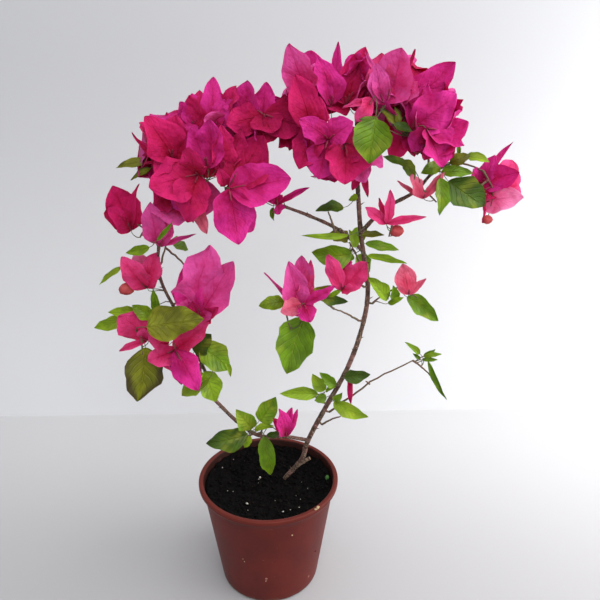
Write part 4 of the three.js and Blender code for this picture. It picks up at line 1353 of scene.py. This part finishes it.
def largest_bloom(lobe, direction, axis, spin, lean, full, tint, placed):
    """The largest bloom that has room near a lobe's surface: its foot, its bracts, its heart and its room."""
    smallest = min(lobe.size)
    for step, outward, twist in BLOOM_TRIES:
        length = full * step
        spread = min(length * math.sin(lean), smallest)
        sag = smallest - math.sqrt(smallest**2 - spread**2)
        base = lobe.centre + direction * lobe.size * outward - axis * (sag + length * math.cos(lean))
        turned = (spin + twist) * 2 * math.pi / BRACTS_PER_BLOOM
        bracts = bracts_of(base, axis, turned, length, lean, tint)
        heart = base + axis * length * BLOOM_HEART
        room = length * math.sin(BRACT_LEAN) * CROWDING
        too_near = heart[1] < FOREMOST and lobe.blooms > 1
        crowded = any(np.linalg.norm(other - heart) < room + taken for other, taken in placed)
        if not too_near and not crowded and all(fits(bract) for bract in bracts):
            return base, bracts, heart, room
    return None


def grow_blooms(lobe, shoots, placed, draw, fine, crown):
    """Blooms spread over a lobe, each as large as the crown lets it be. A single one is a cup."""
    turn = draw() * 2 * math.pi
    away = unit(lobe.centre - lobe.anchor)
    single = lobe.blooms == 1
    count = 1 if single else round(lobe.blooms * FULLNESS)
    for i in range(count):
        wobble = np.array((draw() - 0.5, draw() - 0.5, draw() - 0.3))
        spin, size = draw(), draw()
        spiral = spiral_direction(i, count, turn)
        face = unit(away + OUTLOOK if single else spiral / lobe.size)
        axis = unit(face + wobble * BLOOM_WOBBLE)
        lean = (CUP_LEAN if single else BRACT_LEAN) * fine.uniform(*LEAN_RANGE)
        tint = chosen(BLOSSOM_TINTS, fine)
        full = BRACT.length * part_way(*BLOOM_SIZES, size)
        full = min(full, min(lobe.size) * CUP_LENGTH) if single else full
        bloom = largest_bloom(lobe, axis if single else spiral, axis, spin, lean, full, tint, placed)
        if bloom:
            base, bracts, heart, room = bloom
            placed.append((heart, room))
            crown.hang(shoots, base, axis)
            crown.bracts.extend(bracts)
            crown.tubes.extend(bracts)


def grow_leaves(lobe, shoots, draw, fine, crown):
    """Leaves spread over a lobe, each as large as the crown lets it be."""
    turn = draw() * 2 * math.pi
    away = unit(lobe.centre - lobe.anchor)
    count = round(lobe.leaves * LEAFINESS)
    for i in range(count):
        tilt, size = draw() - 0.5, draw()
        along = unit(spiral_direction(i, count, turn) * LEAF_SPREAD)
        normal = square(np.array((tilt, *LEAF_FACE)), along)
        ahead = edge_of(lobe, away) * LEAF_STAGGER * np.dot(along, away)
        start = lobe.centre + away * ahead + along * LEAF_STALK
        full = LEAF.length * part_way(*LEAF_SIZES, size)
        tint = chosen(LEAF_TINTS, fine)
        sizes = [Blade(start, along, normal, full * step, LEAF, tint) for step in SIZE_STEPS]
        leaf = next((leaf for leaf in sizes if fits(leaf)), None)
        if leaf:
            crown.hang(shoots, start, along)
            crown.leaves.append(leaf)


def wood_near(shoots):
    """The shoots of a mass and the limbs near its foot, from which the stalks in front may spring."""
    height = shoots[0][0][2]
    near = [limb.line[np.abs(limb.line[:, 2] - height) < WOOD_SPAN] for limb in limbs.values()]
    return shoots + [line for line in near if len(line) > 1]


def grow_front_bloom(crown, wood, base, tint, tips, fine):
    """One bloom in front, whose bracts reach from its foot to their tips. Returns its middle."""
    base = np.array(base, float)
    reaches = [np.array(tip[:3]) - base for tip in tips]
    axis = unit(sum(reaches))
    for reach, (*_, width) in zip(reaches, tips):
        along = unit(reach)
        normal = square(TO_VIEWER + axis * OPENING_OUT + fine.normal(0, BRACT_STRAY, 3), along)
        length = np.linalg.norm(reach) * BRACT_SLACK
        bract = Blade(base, along, normal, length, FRONT_BRACT, tint, width)
        crown.bracts.append(bract)
        if width > NARROW:
            crown.tubes.append(bract)
    crown.hang(wood, base, axis)
    return base + sum(reaches) / len(reaches) / 2


def grow_front_leaf(crown, wood, base, tip, width, tint, fine):
    base = np.array(base, float)
    reach = np.array(tip) - base
    along = unit(reach)
    normal = square(TO_VIEWER + fine.normal(0, LEAF_STRAY, 3), along)
    length = np.linalg.norm(reach) * LEAF_SLACK
    crown.leaves.append(Blade(base, along, normal, length, FRONT_LEAF, tint, width))
    crown.hang(wood, base, along)


def grow_front(name, shoots, placed, crown, fine):
    """The blooms, leaves and buds of one mass that have a place of their own."""
    wood = wood_near(shoots)
    for base, tint, tips in FRONT_BLOOMS.get(name, ()):
        placed.append((grow_front_bloom(crown, wood, base, tint, tips, fine), FRONT_ROOM))
    for base, tip, width, tint in FRONT_LEAVES.get(name, ()):
        grow_front_leaf(crown, wood, base, tip, width, tint, fine)
    if name in BUDS:
        middle, width = BUDS[name]
        crown.buds.append((np.array(middle, float), width / 2))
        crown.hang(wood, np.array(middle, float), BUD_AHEAD)


def grow_shoots(mass, shoots, crown):
    """A shoot to each lobe, from the nearest place on the shoots before it. It stops short in a bare lobe."""
    neck = shoots[0][1]
    for lobe in mass.lobes:
        lobe.anchor = nearest_on(shoots[1:] or [np.array([neck])], lobe.centre)
        into = lobe.centre - lobe.anchor
        distance = np.linalg.norm(into)
        edge = edge_of(lobe, into / distance) / distance
        share = 1 + SHOOT_OVERRUN * edge if lobe.blooms or lobe.leaves else 1 - SHOOT_SHORTFALL * edge
        if share * distance > SHORTEST_SHOOT:
            line = twig_line(lobe.anchor, lobe.anchor + into * share, SHOOT_STEPS)
            shoots.append(line)
            crown.twigs.append(("shoot", list(line), SHOOT_RADIUS))


def grow_mass(name, mass, crown):
    """One mass: its stem leaves the limb, and shoots branch from that stem to each lobe."""
    draw = seeded(mass.seed).__next__
    fine = np.random.default_rng(mass.seed)
    point, radius, along = place_on(limbs[mass.limb], mass.height)
    outward = along if mass.height is None else square(mass.lobes[0].centre - point, along)
    neck = point + outward * (radius + NECK)
    crown.twigs.append(("shoot", [point, neck], STEM_RADIUS))
    shoots = [np.array((point, neck))]
    placed = []
    grow_shoots(mass, shoots, crown)
    grow_front(name, shoots, placed, crown, fine)
    for lobe in mass.lobes:
        if lobe.blooms:
            grow_blooms(lobe, shoots, placed, draw, fine, crown)
        if lobe.leaves:
            grow_leaves(lobe, shoots, draw, fine, crown)


def grow_crown():
    crown = Crown()
    for name, mass in MASSES.items():
        grow_mass(name, mass, crown)
    return crown


# Meshes


def linked(name, data):
    """A new object in the scene."""
    made = bpy.data.objects.new(name, data)
    bpy.context.scene.collection.objects.link(made)
    return made


def mesh_from(name, bm):
    """A mesh from a bmesh, which is freed."""
    mesh = bpy.data.meshes.new(name)
    bm.to_mesh(mesh)
    bm.free()
    return mesh


def finished(name, mesh, nodes=()):
    """A mesh as a piece of the plant that stands for the given nodes."""
    made = linked(name, mesh)
    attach(made, "root")
    if nodes:
        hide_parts(*nodes)


class Joined:
    """Many small pieces of one kind, gathered into one mesh."""

    def __init__(self, name, finishes):
        self.name = name
        self.finishes = finishes
        self.points = []
        self.places = []
        self.faces = []
        self.slots = []
        self.rims = []
        self.count = 0

    def add(self, points, faces, finish, places=None, rim=None):
        """Adds a small piece, perhaps with places on a blade and marks on the points of its sharp rim."""
        self.points.append(points)
        self.places.append(np.zeros((len(points), 2)) if places is None else places)
        self.rims.append(np.zeros(len(points), bool) if rim is None else rim)
        self.faces.extend([tuple(k + self.count for k in face) for face in faces])
        self.slots.extend([self.finishes.index(finish)] * len(faces))
        self.count += len(points)

    def piece(self, slot, nodes=()):
        mesh = bpy.data.meshes.new(self.name)
        mesh.from_pydata(np.vstack(self.points) * MM, [], self.faces)
        for finish in self.finishes:
            mesh.materials.append(FINISHES[finish])
        mesh.polygons.foreach_set("material_index", self.slots)
        mesh.shade_smooth()
        corners = np.zeros(len(mesh.loops), int)
        mesh.loops.foreach_get("vertex_index", corners)
        places = np.vstack(self.places)[corners]
        mesh.uv_layers.new(name="blade").data.foreach_set("uv", places.ravel())
        ends = np.zeros(len(mesh.edges) * 2, int)
        mesh.edges.foreach_get("vertices", ends)
        sharp = np.all(np.concatenate(self.rims)[ends.reshape(-1, 2)], axis=1)
        mesh.attributes.new("sharp_edge", "BOOLEAN", "EDGE").data.foreach_set("value", sharp)
        mesh.update()
        finished(self.name, mesh, nodes)


class BladePattern:
    """The vertices and faces that all blades of one kind share."""

    def __init__(self, kind):
        across, rows = kind.across, kind.rows
        u = np.linspace(-1, 1, across + 1)
        v = (1 - np.cos(np.pi * np.arange(1, rows) / rows)) / 2
        upper = [(a, b) for b in v for a in u]
        lower = [(a, b) for b in v for a in u[1:-1]]
        self.u, self.v = np.array([*upper, *lower, (0, 0), (0, 1)]).T
        self.below = np.zeros(len(self.u), bool)
        self.below[len(upper) : len(upper) + len(lower)] = True
        self.rim = np.abs(self.u) > 0.999
        self.rim[-2:] = True
        self.faces = self._faces(across, rows - 1, len(upper), len(upper) + len(lower))

    def _faces(self, across, rows, upper, foot):
        """The faces of both sides, which meet at the edge, at the foot and at the tip."""

        def over(row, column):
            return row * (across + 1) + column

        def under(row, column):
            return over(row, column) if column in (0, across) else upper + row * (across - 1) + column - 1

        faces = []
        for column in range(across):
            for row in range(rows - 1):
                corners = [(row, column), (row, column + 1), (row + 1, column + 1), (row + 1, column)]
                faces.append([over(*corner) for corner in corners])
                faces.append([under(*corner) for corner in (corners[0], *corners[:0:-1])])
            faces.append([foot, over(0, column + 1), over(0, column)])
            faces.append([foot, under(0, column), under(0, column + 1)])
            faces.append([foot + 1, over(rows - 1, column), over(rows - 1, column + 1)])
            faces.append([foot + 1, under(rows - 1, column + 1), under(rows - 1, column)])
        return faces

    def add_to(self, joined, blade, fine):
        points = ruffled(blade, self.u, self.v, fine)
        points[self.below] -= blade.normal * blade.kind.thickness
        places = np.stack([(self.u + 1) / 2, self.v], axis=1)
        joined.add(points, self.faces, blade.tint, places, self.rim)


def add_tube(joined, line, radii, finish, sides=TWIG_SIDES):
    """A closed round tube along a line."""
    angles = 2 * np.pi * np.arange(sides) / sides
    rings = [
        point + radius * (np.outer(np.cos(angles), side) + np.outer(np.sin(angles), third))
        for point, radius, (_, side, third) in zip(line, radii, frames_along(line))
    ]
    faces = [list(range(sides))[::-1], [(len(line) - 1) * sides + k for k in range(sides)]]
    for ring in range(len(line) - 1):
        low, high = ring * sides, (ring + 1) * sides
        for k in range(sides):
            following = (k + 1) % sides
            faces.append([low + k, low + following, high + following, high + k])
    joined.add(np.vstack(rings), faces, finish)


def add_twig(joined, finish, points, radius, fine):
    """A twig with a little wander, thinner towards its end."""
    smooth = smooth_line(points, SHOOT_SMOOTHING) if finish == "shoot" else points
    wander = fine.normal(0, TWIG_WANDER * lengths_along(smooth)[-1], smooth.shape)
    wander[0] = wander[-1] = 0
    radii = radius * (1 - SHOOT_TAPER * np.linspace(0, 1, len(smooth)))
    add_tube(joined, smooth + wander, radii, finish)


def add_flower(joined, bract, fine):
    """The small closed flower tube that lies along the midrib of a bract."""
    rings = len(FLOWER_RADII)
    places = np.linspace(FLOWER_FOOT, fine.uniform(*FLOWER_REACH), rings)
    lift = bract.normal * np.linspace(*FLOWER_LIFT, rings)[:, None]
    line = on_blade(bract, np.zeros(rings), places) + lift
    add_tube(joined, line, FLOWER_RADII * fine.uniform(*FLOWER_SIZES), "tube", FLOWER_SIDES)


# Bark


def swollen(limb, distances, fine):
    """The limb's radii with a collar at its foot and a slight swelling at each old leaf scar."""
    scars = np.arange(FIRST_SCAR, distances[-1], SCAR_SPACING)
    scars = scars + fine.uniform(-SCAR_STRAY, SCAR_STRAY, len(scars))
    radii = limb.radii * BARK_SLIMNESS + COLLAR_SWELL * np.exp(-distances / COLLAR_LENGTH)
    for scar in scars:
        radii = radii + SCAR_SWELL * np.exp(-(((distances - scar) / SCAR_WIDTH) ** 2))
    return radii, scars


def bark_relief(start, turn, distance):
    """How far the bark stands out at a place round a limb and along it, in millimetres."""
    relief = 0
    for height, around, along in BARK_RELIEF:
        place = Vector((math.cos(turn) * around, math.sin(turn) * around, distance * along))
        relief += height * noise.noise(place + start)
    return relief


def add_bark(bm, limb, seed):
    """One limb, extruded ring by ring along its line."""
    fine = np.random.default_rng(seed)
    distances = lengths_along(limb.line)
    radii, scars = swollen(limb, distances, fine)
    shift = Vector((seed * 3.1, 0, 0))
    angles = 2 * np.pi * np.arange(BARK_SIDES) / BARK_SIDES
    frames = frames_along(limb.line)
    ring = bmesh.ops.create_circle(bm, cap_ends=True, segments=BARK_SIDES, radius=1)["verts"]
    face = ring[0].link_faces[0]
    for point, radius, distance, (_, side, third) in zip(limb.line, radii, distances, frames):
        if distance > 0:
            grown = bmesh.ops.extrude_face_region(bm, geom=[face])["geom"]
            face = next(item for item in grown if isinstance(item, bmesh.types.BMFace))
        for corner, angle in zip(face.verts, angles):
            reach = radius + bark_relief(shift, angle, distance)
            corner.co = Vector(point + (side * math.cos(angle) + third * math.sin(angle)) * reach) * MM
    for scar in scars:
        add_thorn(bm, limb, distances, radii, scar, fine)


def add_thorn(bm, limb, distances, radii, scar, fine):
    """A short thorn above a leaf scar."""
    if scar < THORN_START or fine.uniform() < THORNLESS:
        return
    i = int(np.searchsorted(distances, scar))
    along, side, third = frames_along(limb.line)[i]
    angle = fine.uniform(0, 2 * math.pi)
    outward = unit(side * math.cos(angle) + third * math.sin(angle) + along * THORN_SLANT)
    length = fine.uniform(*THORN_LENGTHS)
    foot = limb.line[i] + outward * (radii[i] * THORN_SINK)
    turn = Vector(outward).to_track_quat("Z", "Y").to_matrix().to_4x4()
    bmesh.ops.create_cone(
        bm,
        cap_ends=True,
        segments=THORN_SIDES,
        radius1=THORN_RADII[0] * MM,
        radius2=THORN_RADII[1] * MM,
        depth=length * MM,
        matrix=Matrix.Translation(Vector(foot + outward * length / 2) * MM) @ turn,
    )


def cut_stub(trunk):
    """The short stub of a cut branch low on the stem."""
    point, radius, _ = place_on(trunk, STUB_HEIGHT)
    line = twig_line(point, point + np.array((STUB_REACH, 0, STUB_RISE)), STUB_STEPS)
    line[:, 2] -= STUB_DROP
    return Limb(line, np.linspace(radius * STUB_SLIMNESS, STUB_RADIUS, STUB_STEPS + 1))


def make_limbs():
    thick = grown_limbs(BARK_STEPS_PER_SPAN)
    bm = bmesh.new()
    for seed, limb in enumerate(thick.values(), start=1):
        add_bark(bm, limb, seed)
    stub = cut_stub(thick["trunk"])
    add_bark(bm, stub, STUB_SEED)
    bmesh.ops.recalc_face_normals(bm, faces=bm.faces[:])
    mesh = mesh_from("limbs", bm)
    mesh.materials.append(FINISHES["bark"])
    mesh.materials.append(FINISHES["cut_wood"])
    for face in mesh.polygons:
        if np.linalg.norm(np.array(face.center) / MM - stub.line[-1]) < STUB_RADIUS / 2:
            face.material_index = 1
    mesh.shade_smooth()
    finished("limbs", mesh, list(LIMBS))


# Pot and compost


def wall_radius(height, inset=0):
    return BASE_RADIUS - inset + WALL_SLOPE * height


def spun(name, profile, steps):
    """A mesh turned about the upright axis from a profile of radii and heights."""
    bm = bmesh.new()
    corners = [bm.verts.new((radius * MM, 0, height * MM)) for radius, height in profile]
    edges = [bm.edges.new(pair) for pair in zip(corners, corners[1:])]
    bmesh.ops.spin(
        bm,
        geom=[*corners, *edges],
        cent=(0, 0, 0),
        axis=(0, 0, 1),
        angle=2 * math.pi,
        steps=steps,
        use_merge=True,
    )
    bmesh.ops.remove_doubles(bm, verts=bm.verts[:], dist=1e-6)
    bmesh.ops.recalc_face_normals(bm, faces=bm.faces[:])
    mesh = mesh_from(name, bm)
    mesh.shade_smooth()
    return mesh


def round_corner(centre_radius, centre_height, size, start, stop, steps):
    """Points on a round corner of the profile, by angle from straight out."""
    return [
        (centre_radius + size * math.cos(angle), centre_height + size * math.sin(angle))
        for angle in np.radians(np.linspace(start, stop, steps))
    ]


def pot_profile():
    """Up the outside, round the lip and down the inside."""
    lip_low = POT_HEIGHT - LIP_DEPTH
    wall_top = wall_radius(POT_HEIGHT, POT_WALL)
    corner = BASE_RADIUS - BASE_ROUNDING + BASE_BULGE
    outside = np.linspace(WALL_START, lip_low - LIP_RELIEF, WALL_RINGS)
    inside = np.linspace(lip_low, INNER_START, INNER_RINGS)
    return [
        (0, 0),
        (BASE_RADIUS - BASE_INSET, 0),
        *round_corner(corner, BASE_ROUNDING, BASE_ROUNDING, -90, -10, 8),
        *[(wall_radius(height), height) for height in outside],
        *round_corner(RIM_RADIUS - LIP_BEAD, lip_low + LIP_BEAD, LIP_BEAD, -90, 0, 6),
        *round_corner(RIM_RADIUS - LIP_BEAD, POT_HEIGHT - LIP_BEAD, LIP_BEAD, 0, 90, 6),
        *round_corner(wall_top + LIP_BEAD, POT_HEIGHT - LIP_BEAD, LIP_BEAD, 100, 180, 4),
        *[(wall_radius(height, POT_WALL), height) for height in inside],
        (wall_radius(POT_WALL, POT_WALL) - INNER_CORNER, POT_WALL),
        (0, POT_WALL),
    ]


def drain_drills():
    """Round cutters in a ring through the pot's base."""
    drills = bmesh.new()
    for k in range(DRAIN_HOLES):
        angle = 2 * math.pi * k / DRAIN_HOLES
        middle = Vector((DRAIN_CIRCLE * math.cos(angle), DRAIN_CIRCLE * math.sin(angle), 0))
        bmesh.ops.create_cone(
            drills,
            cap_ends=True,
            segments=DRILL_SIDES,
            radius1=DRAIN_RADIUS * MM,
            radius2=DRAIN_RADIUS * MM,
            depth=DRILL_DEPTH * MM,
            matrix=Matrix.Translation(middle * MM),
        )
    return mesh_from("drills", drills)


def make_pot():
    cutter = linked("drills", drain_drills())
    blank = linked("pot_blank", spun("pot_shell", pot_profile(), POT_STEPS))
    cut = blank.modifiers.new("drain_holes", "BOOLEAN")
    cut.object = cutter
    cut.operation = "DIFFERENCE"
    bpy.context.view_layer.update()
    drilled = bpy.data.meshes.new_from_object(blank.evaluated_get(bpy.context.evaluated_depsgraph_get()))
    bpy.data.objects.remove(blank)
    bpy.data.objects.remove(cutter)
    drilled.materials.clear()
    drilled.materials.append(FINISHES["pot"])
    finished("pot_shell", drilled, ["pot"])


def soil_height(x, y):
    """How far the compost stands above its level at a place, in millimetres."""
    broad = noise.noise(Vector((x, y, 3)) * BROAD_SCALE)
    lumps = noise.fractal(Vector((x, y, 9)) * LUMP_SCALE, 0.7, 2.1, 4)
    bank = BANK_RISE * (math.hypot(x, y) / wall_radius(SOIL_LEVEL)) ** BANK_POWER
    return bank + BROAD_RISE * broad + LUMP_RISE * lumps


def make_soil():
    """The compost, with a rough top that is banked up a little at the wall."""
    edge = wall_radius(SOIL_LEVEL, POT_WALL + TOP_PLAY)
    floor = POT_WALL + SOIL_GAP
    profile = [(radius, SOIL_LEVEL) for radius in np.linspace(0, edge, SOIL_RINGS)]
    profile += [(wall_radius(height, POT_WALL + SIDE_PLAY), height) for height in (SOIL_WAIST, floor)]
    mesh = spun("compost_bed", [*profile, (0, floor)], SOIL_STEPS)
    for corner in mesh.vertices:
        if corner.co.z > (SOIL_LEVEL - 1) * MM:
            corner.co.z += soil_height(corner.co.x / MM, corner.co.y / MM) * MM
    mesh.materials.append(FINISHES["compost"])
    finished("compost_bed", mesh, ["soil"])


def lump_pattern(detail):
    """A round lump's vertices and faces, for scattering."""
    bm = bmesh.new()
    bmesh.ops.create_icosphere(bm, subdivisions=detail, radius=1)
    bm.verts.index_update()
    points = np.array([tuple(corner.co) for corner in bm.verts])
    faces = [[corner.index for corner in face.verts] for face in bm.faces]
    bm.free()
    return points, faces


def add_lump(joined, pattern, centre, size, finish, fine):
    """A knobbly lump, stretched and turned at random."""
    points, faces = pattern
    knobs = 1 + fine.normal(0, LUMP_KNOBS, (len(points), 1))
    turn = np.array(Matrix.Rotation(fine.uniform(0, 6.3), 3, fine.normal(0, 1, 3)))
    stretch = np.array((fine.uniform(*LUMP_LENGTHS), 1, LUMP_HEIGHT))
    joined.add(centre + (points * knobs * stretch * size) @ turn.T, faces, finish)


def make_crumbs():
    """Loose crumbs of peat and white perlite on the compost, and the bits that lie about."""
    fine = np.random.default_rng(CRUMB_SEED)
    joined = Joined("compost_crumbs", ["crumb", "perlite", "fallen_leaf", "debris"])
    pattern = lump_pattern(1)
    edge = wall_radius(SOIL_LEVEL, POT_WALL) - CRUMB_MARGIN
    for i in range(CRUMBS + PERLITE):
        radius, angle = edge * math.sqrt(fine.uniform()), fine.uniform(0, 2 * math.pi)
        x, y = radius * math.cos(angle), radius * math.sin(angle)
        size = fine.uniform(*CRUMB_SIZES) ** 2 if i < CRUMBS else fine.uniform(*PERLITE_SIZES)
        finish = "crumb" if i < CRUMBS else "perlite"
        centre = np.array((x, y, SOIL_LEVEL + soil_height(x, y) + CRUMB_LIFT * size))
        add_lump(joined, pattern, centre, size, finish, fine)
    for x, y, z, size, finish in SCATTERED:
        add_lump(joined, pattern, np.array((x, y, z)), size, finish, fine)
    joined.piece("compost")


# Blossom, leaves and twigs


def make_blossom(crown, fine):
    """The bracts, as a left and a right piece that replace the masses in bloom on their side."""
    tints = [*BLOSSOM_TINTS, "ruby", "salmon", "blush"]
    left, right = Joined("blossom_left", tints), Joined("blossom_right", tints)
    for bract in crown.bracts:
        joined = left if bract.base[0] < BLOSSOM_SPLIT else right
        PATTERNS[bract.kind].add_to(joined, bract, fine)
    blooming = [name for name, mass in MASSES.items() if in_bloom(mass)]
    left.piece("blossom", [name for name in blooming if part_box(name)[0].x < BLOSSOM_SPLIT * MM])
    right.piece("blossom", [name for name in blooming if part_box(name)[0].x >= BLOSSOM_SPLIT * MM])


def make_foliage(crown, fine):
    """The leaves, which replace the masses that are left."""
    foliage = Joined("leaves", list(LEAF_TINTS))
    for leaf in crown.leaves:
        PATTERNS[leaf.kind].add_to(foliage, leaf, fine)
    foliage.piece("foliage", [name for name, mass in MASSES.items() if not in_bloom(mass)])


def make_flowers(crown, fine):
    """Closed buds and the flower tubes between the bracts."""
    flowers = Joined("flower_tubes", ["tube", "bud"])
    points, faces = lump_pattern(2)
    ridges = 1 + BUD_RIDGES * np.cos(3 * np.arctan2(points[:, 1:2], points[:, :1]) + BUD_TURN)
    for middle, size in crown.buds:
        flowers.add(middle + points * ridges * size * BUD_FORM, faces, "bud")
    for bract in crown.tubes:
        add_flower(flowers, bract, fine)
    flowers.piece("blossom")


def make_twigs(crown, fine):
    twigs = Joined("twigs", ["shoot", "stalk"])
    for finish, points, radius in crown.twigs:
        add_twig(twigs, finish, points, radius, fine)
    twigs.piece("bark")


PATTERNS = {kind: BladePattern(kind) for kind in (BRACT, LEAF, FRONT_BRACT, FRONT_LEAF)}
crown = grow_crown()
make_pot()
make_soil()
make_crumbs()
make_limbs()
form = np.random.default_rng(FORM_SEED)
make_blossom(crown, form)
make_foliage(crown, form)
make_flowers(crown, form)
make_twigs(crown, form)


# Stage, light and camera

# The stage and the lights are given in metres, and a light's power in watts.
SHEET_SIZE = 8
FLOOR_DROP = 0.0002
WALL_DISTANCE = 0.335


def plain_finish(name, axis, near, far, first, last, roughness):
    """A pale sheet with painted light: its tone changes along one axis between two places, in metres."""
    finish = Finish(name, Specular_IOR_Level=0.2)
    place = finish.place()
    ground = finish.blend(finish.part(place, axis).between(near, far), first, last)
    cloud = finish.noise(place, 1.5, 2)
    return finish.dress(finish.blend(cloud * 0.06, ground, srgb(120, 120, 122)), roughness)


def make_sheet(name, place, finish):
    bm = bmesh.new()
    bmesh.ops.create_grid(bm, x_segments=1, y_segments=1, size=SHEET_SIZE / 2, matrix=place)
    mesh = mesh_from(name, bm)
    mesh.materials.append(finish)
    linked(name, mesh)


def add_light(name, place, target, size, watts):
    lamp = bpy.data.lights.new(name, "AREA")
    lamp.energy = watts
    lamp.size = size
    made = linked(name, lamp)
    made.location = place
    made.rotation_euler = (Vector(target) - Vector(place)).to_track_quat("-Z", "Y").to_euler()


# Painted light on the stage: the floor is darker at the front and lighter towards the wall, the wall lighter
# low down and darker at the top.
pale_floor = plain_finish("pale_floor", 1, -0.15, 0.33, srgb(166, 164, 165), srgb(192, 191, 192), 0.6)
pale_wall = plain_finish("pale_wall", 2, 0.05, 0.62, srgb(216, 216, 217), srgb(184, 184, 186), 0.8)
wall_turn = Matrix.Rotation(-CAMERA_YAW / 2, 4, "Z") @ Matrix.Rotation(math.pi / 2, 4, "X")
make_sheet("floor", Matrix.Translation((0, 0, -FLOOR_DROP)), pale_floor)
make_sheet("backdrop", Matrix.Translation((0, WALL_DISTANCE, 0)) @ wall_turn, pale_wall)

add_light("window", (0.95, -0.35, 1.5), (0.05, 0, 0.35), 1.9, 18)
add_light("ceiling", (0.1, 0.1, 1.9), (0.05, 0, 0.2), 1.4, 7)
add_light("fill", (0.15, -1.3, 1.5), (0, 0, 0.35), 0.8, 10)
add_light("side", (0.95, -0.3, 0.4), (0.05, 0, 0.15), 0.6, 4)
add_light("behind", (0.75, 0.02, 0.55), (0.42, 0.33, 0.22), 0.5, 2.2)

world = bpy.data.worlds.new("soft_room")
world.use_nodes = True
world.node_tree.nodes["Background"].inputs["Color"].default_value = (0.93, 0.96, 1, 1)
world.node_tree.nodes["Background"].inputs["Strength"].default_value = 0.85
bpy.context.scene.world = world
bpy.context.scene.view_settings.view_transform = "Standard"

lens = bpy.data.cameras.new("camera")
lens.sensor_width = 36
lens.lens = lens.sensor_width / 2 / math.tan(CAMERA_FIELD / 2)
lens.clip_start = 0.01
camera = linked("camera", lens)
camera.location = Vector(CAMERA_PLACE) * MM
camera.rotation_euler = (math.pi / 2 - CAMERA_PITCH, 0, -CAMERA_YAW)
bpy.context.scene.camera = camera
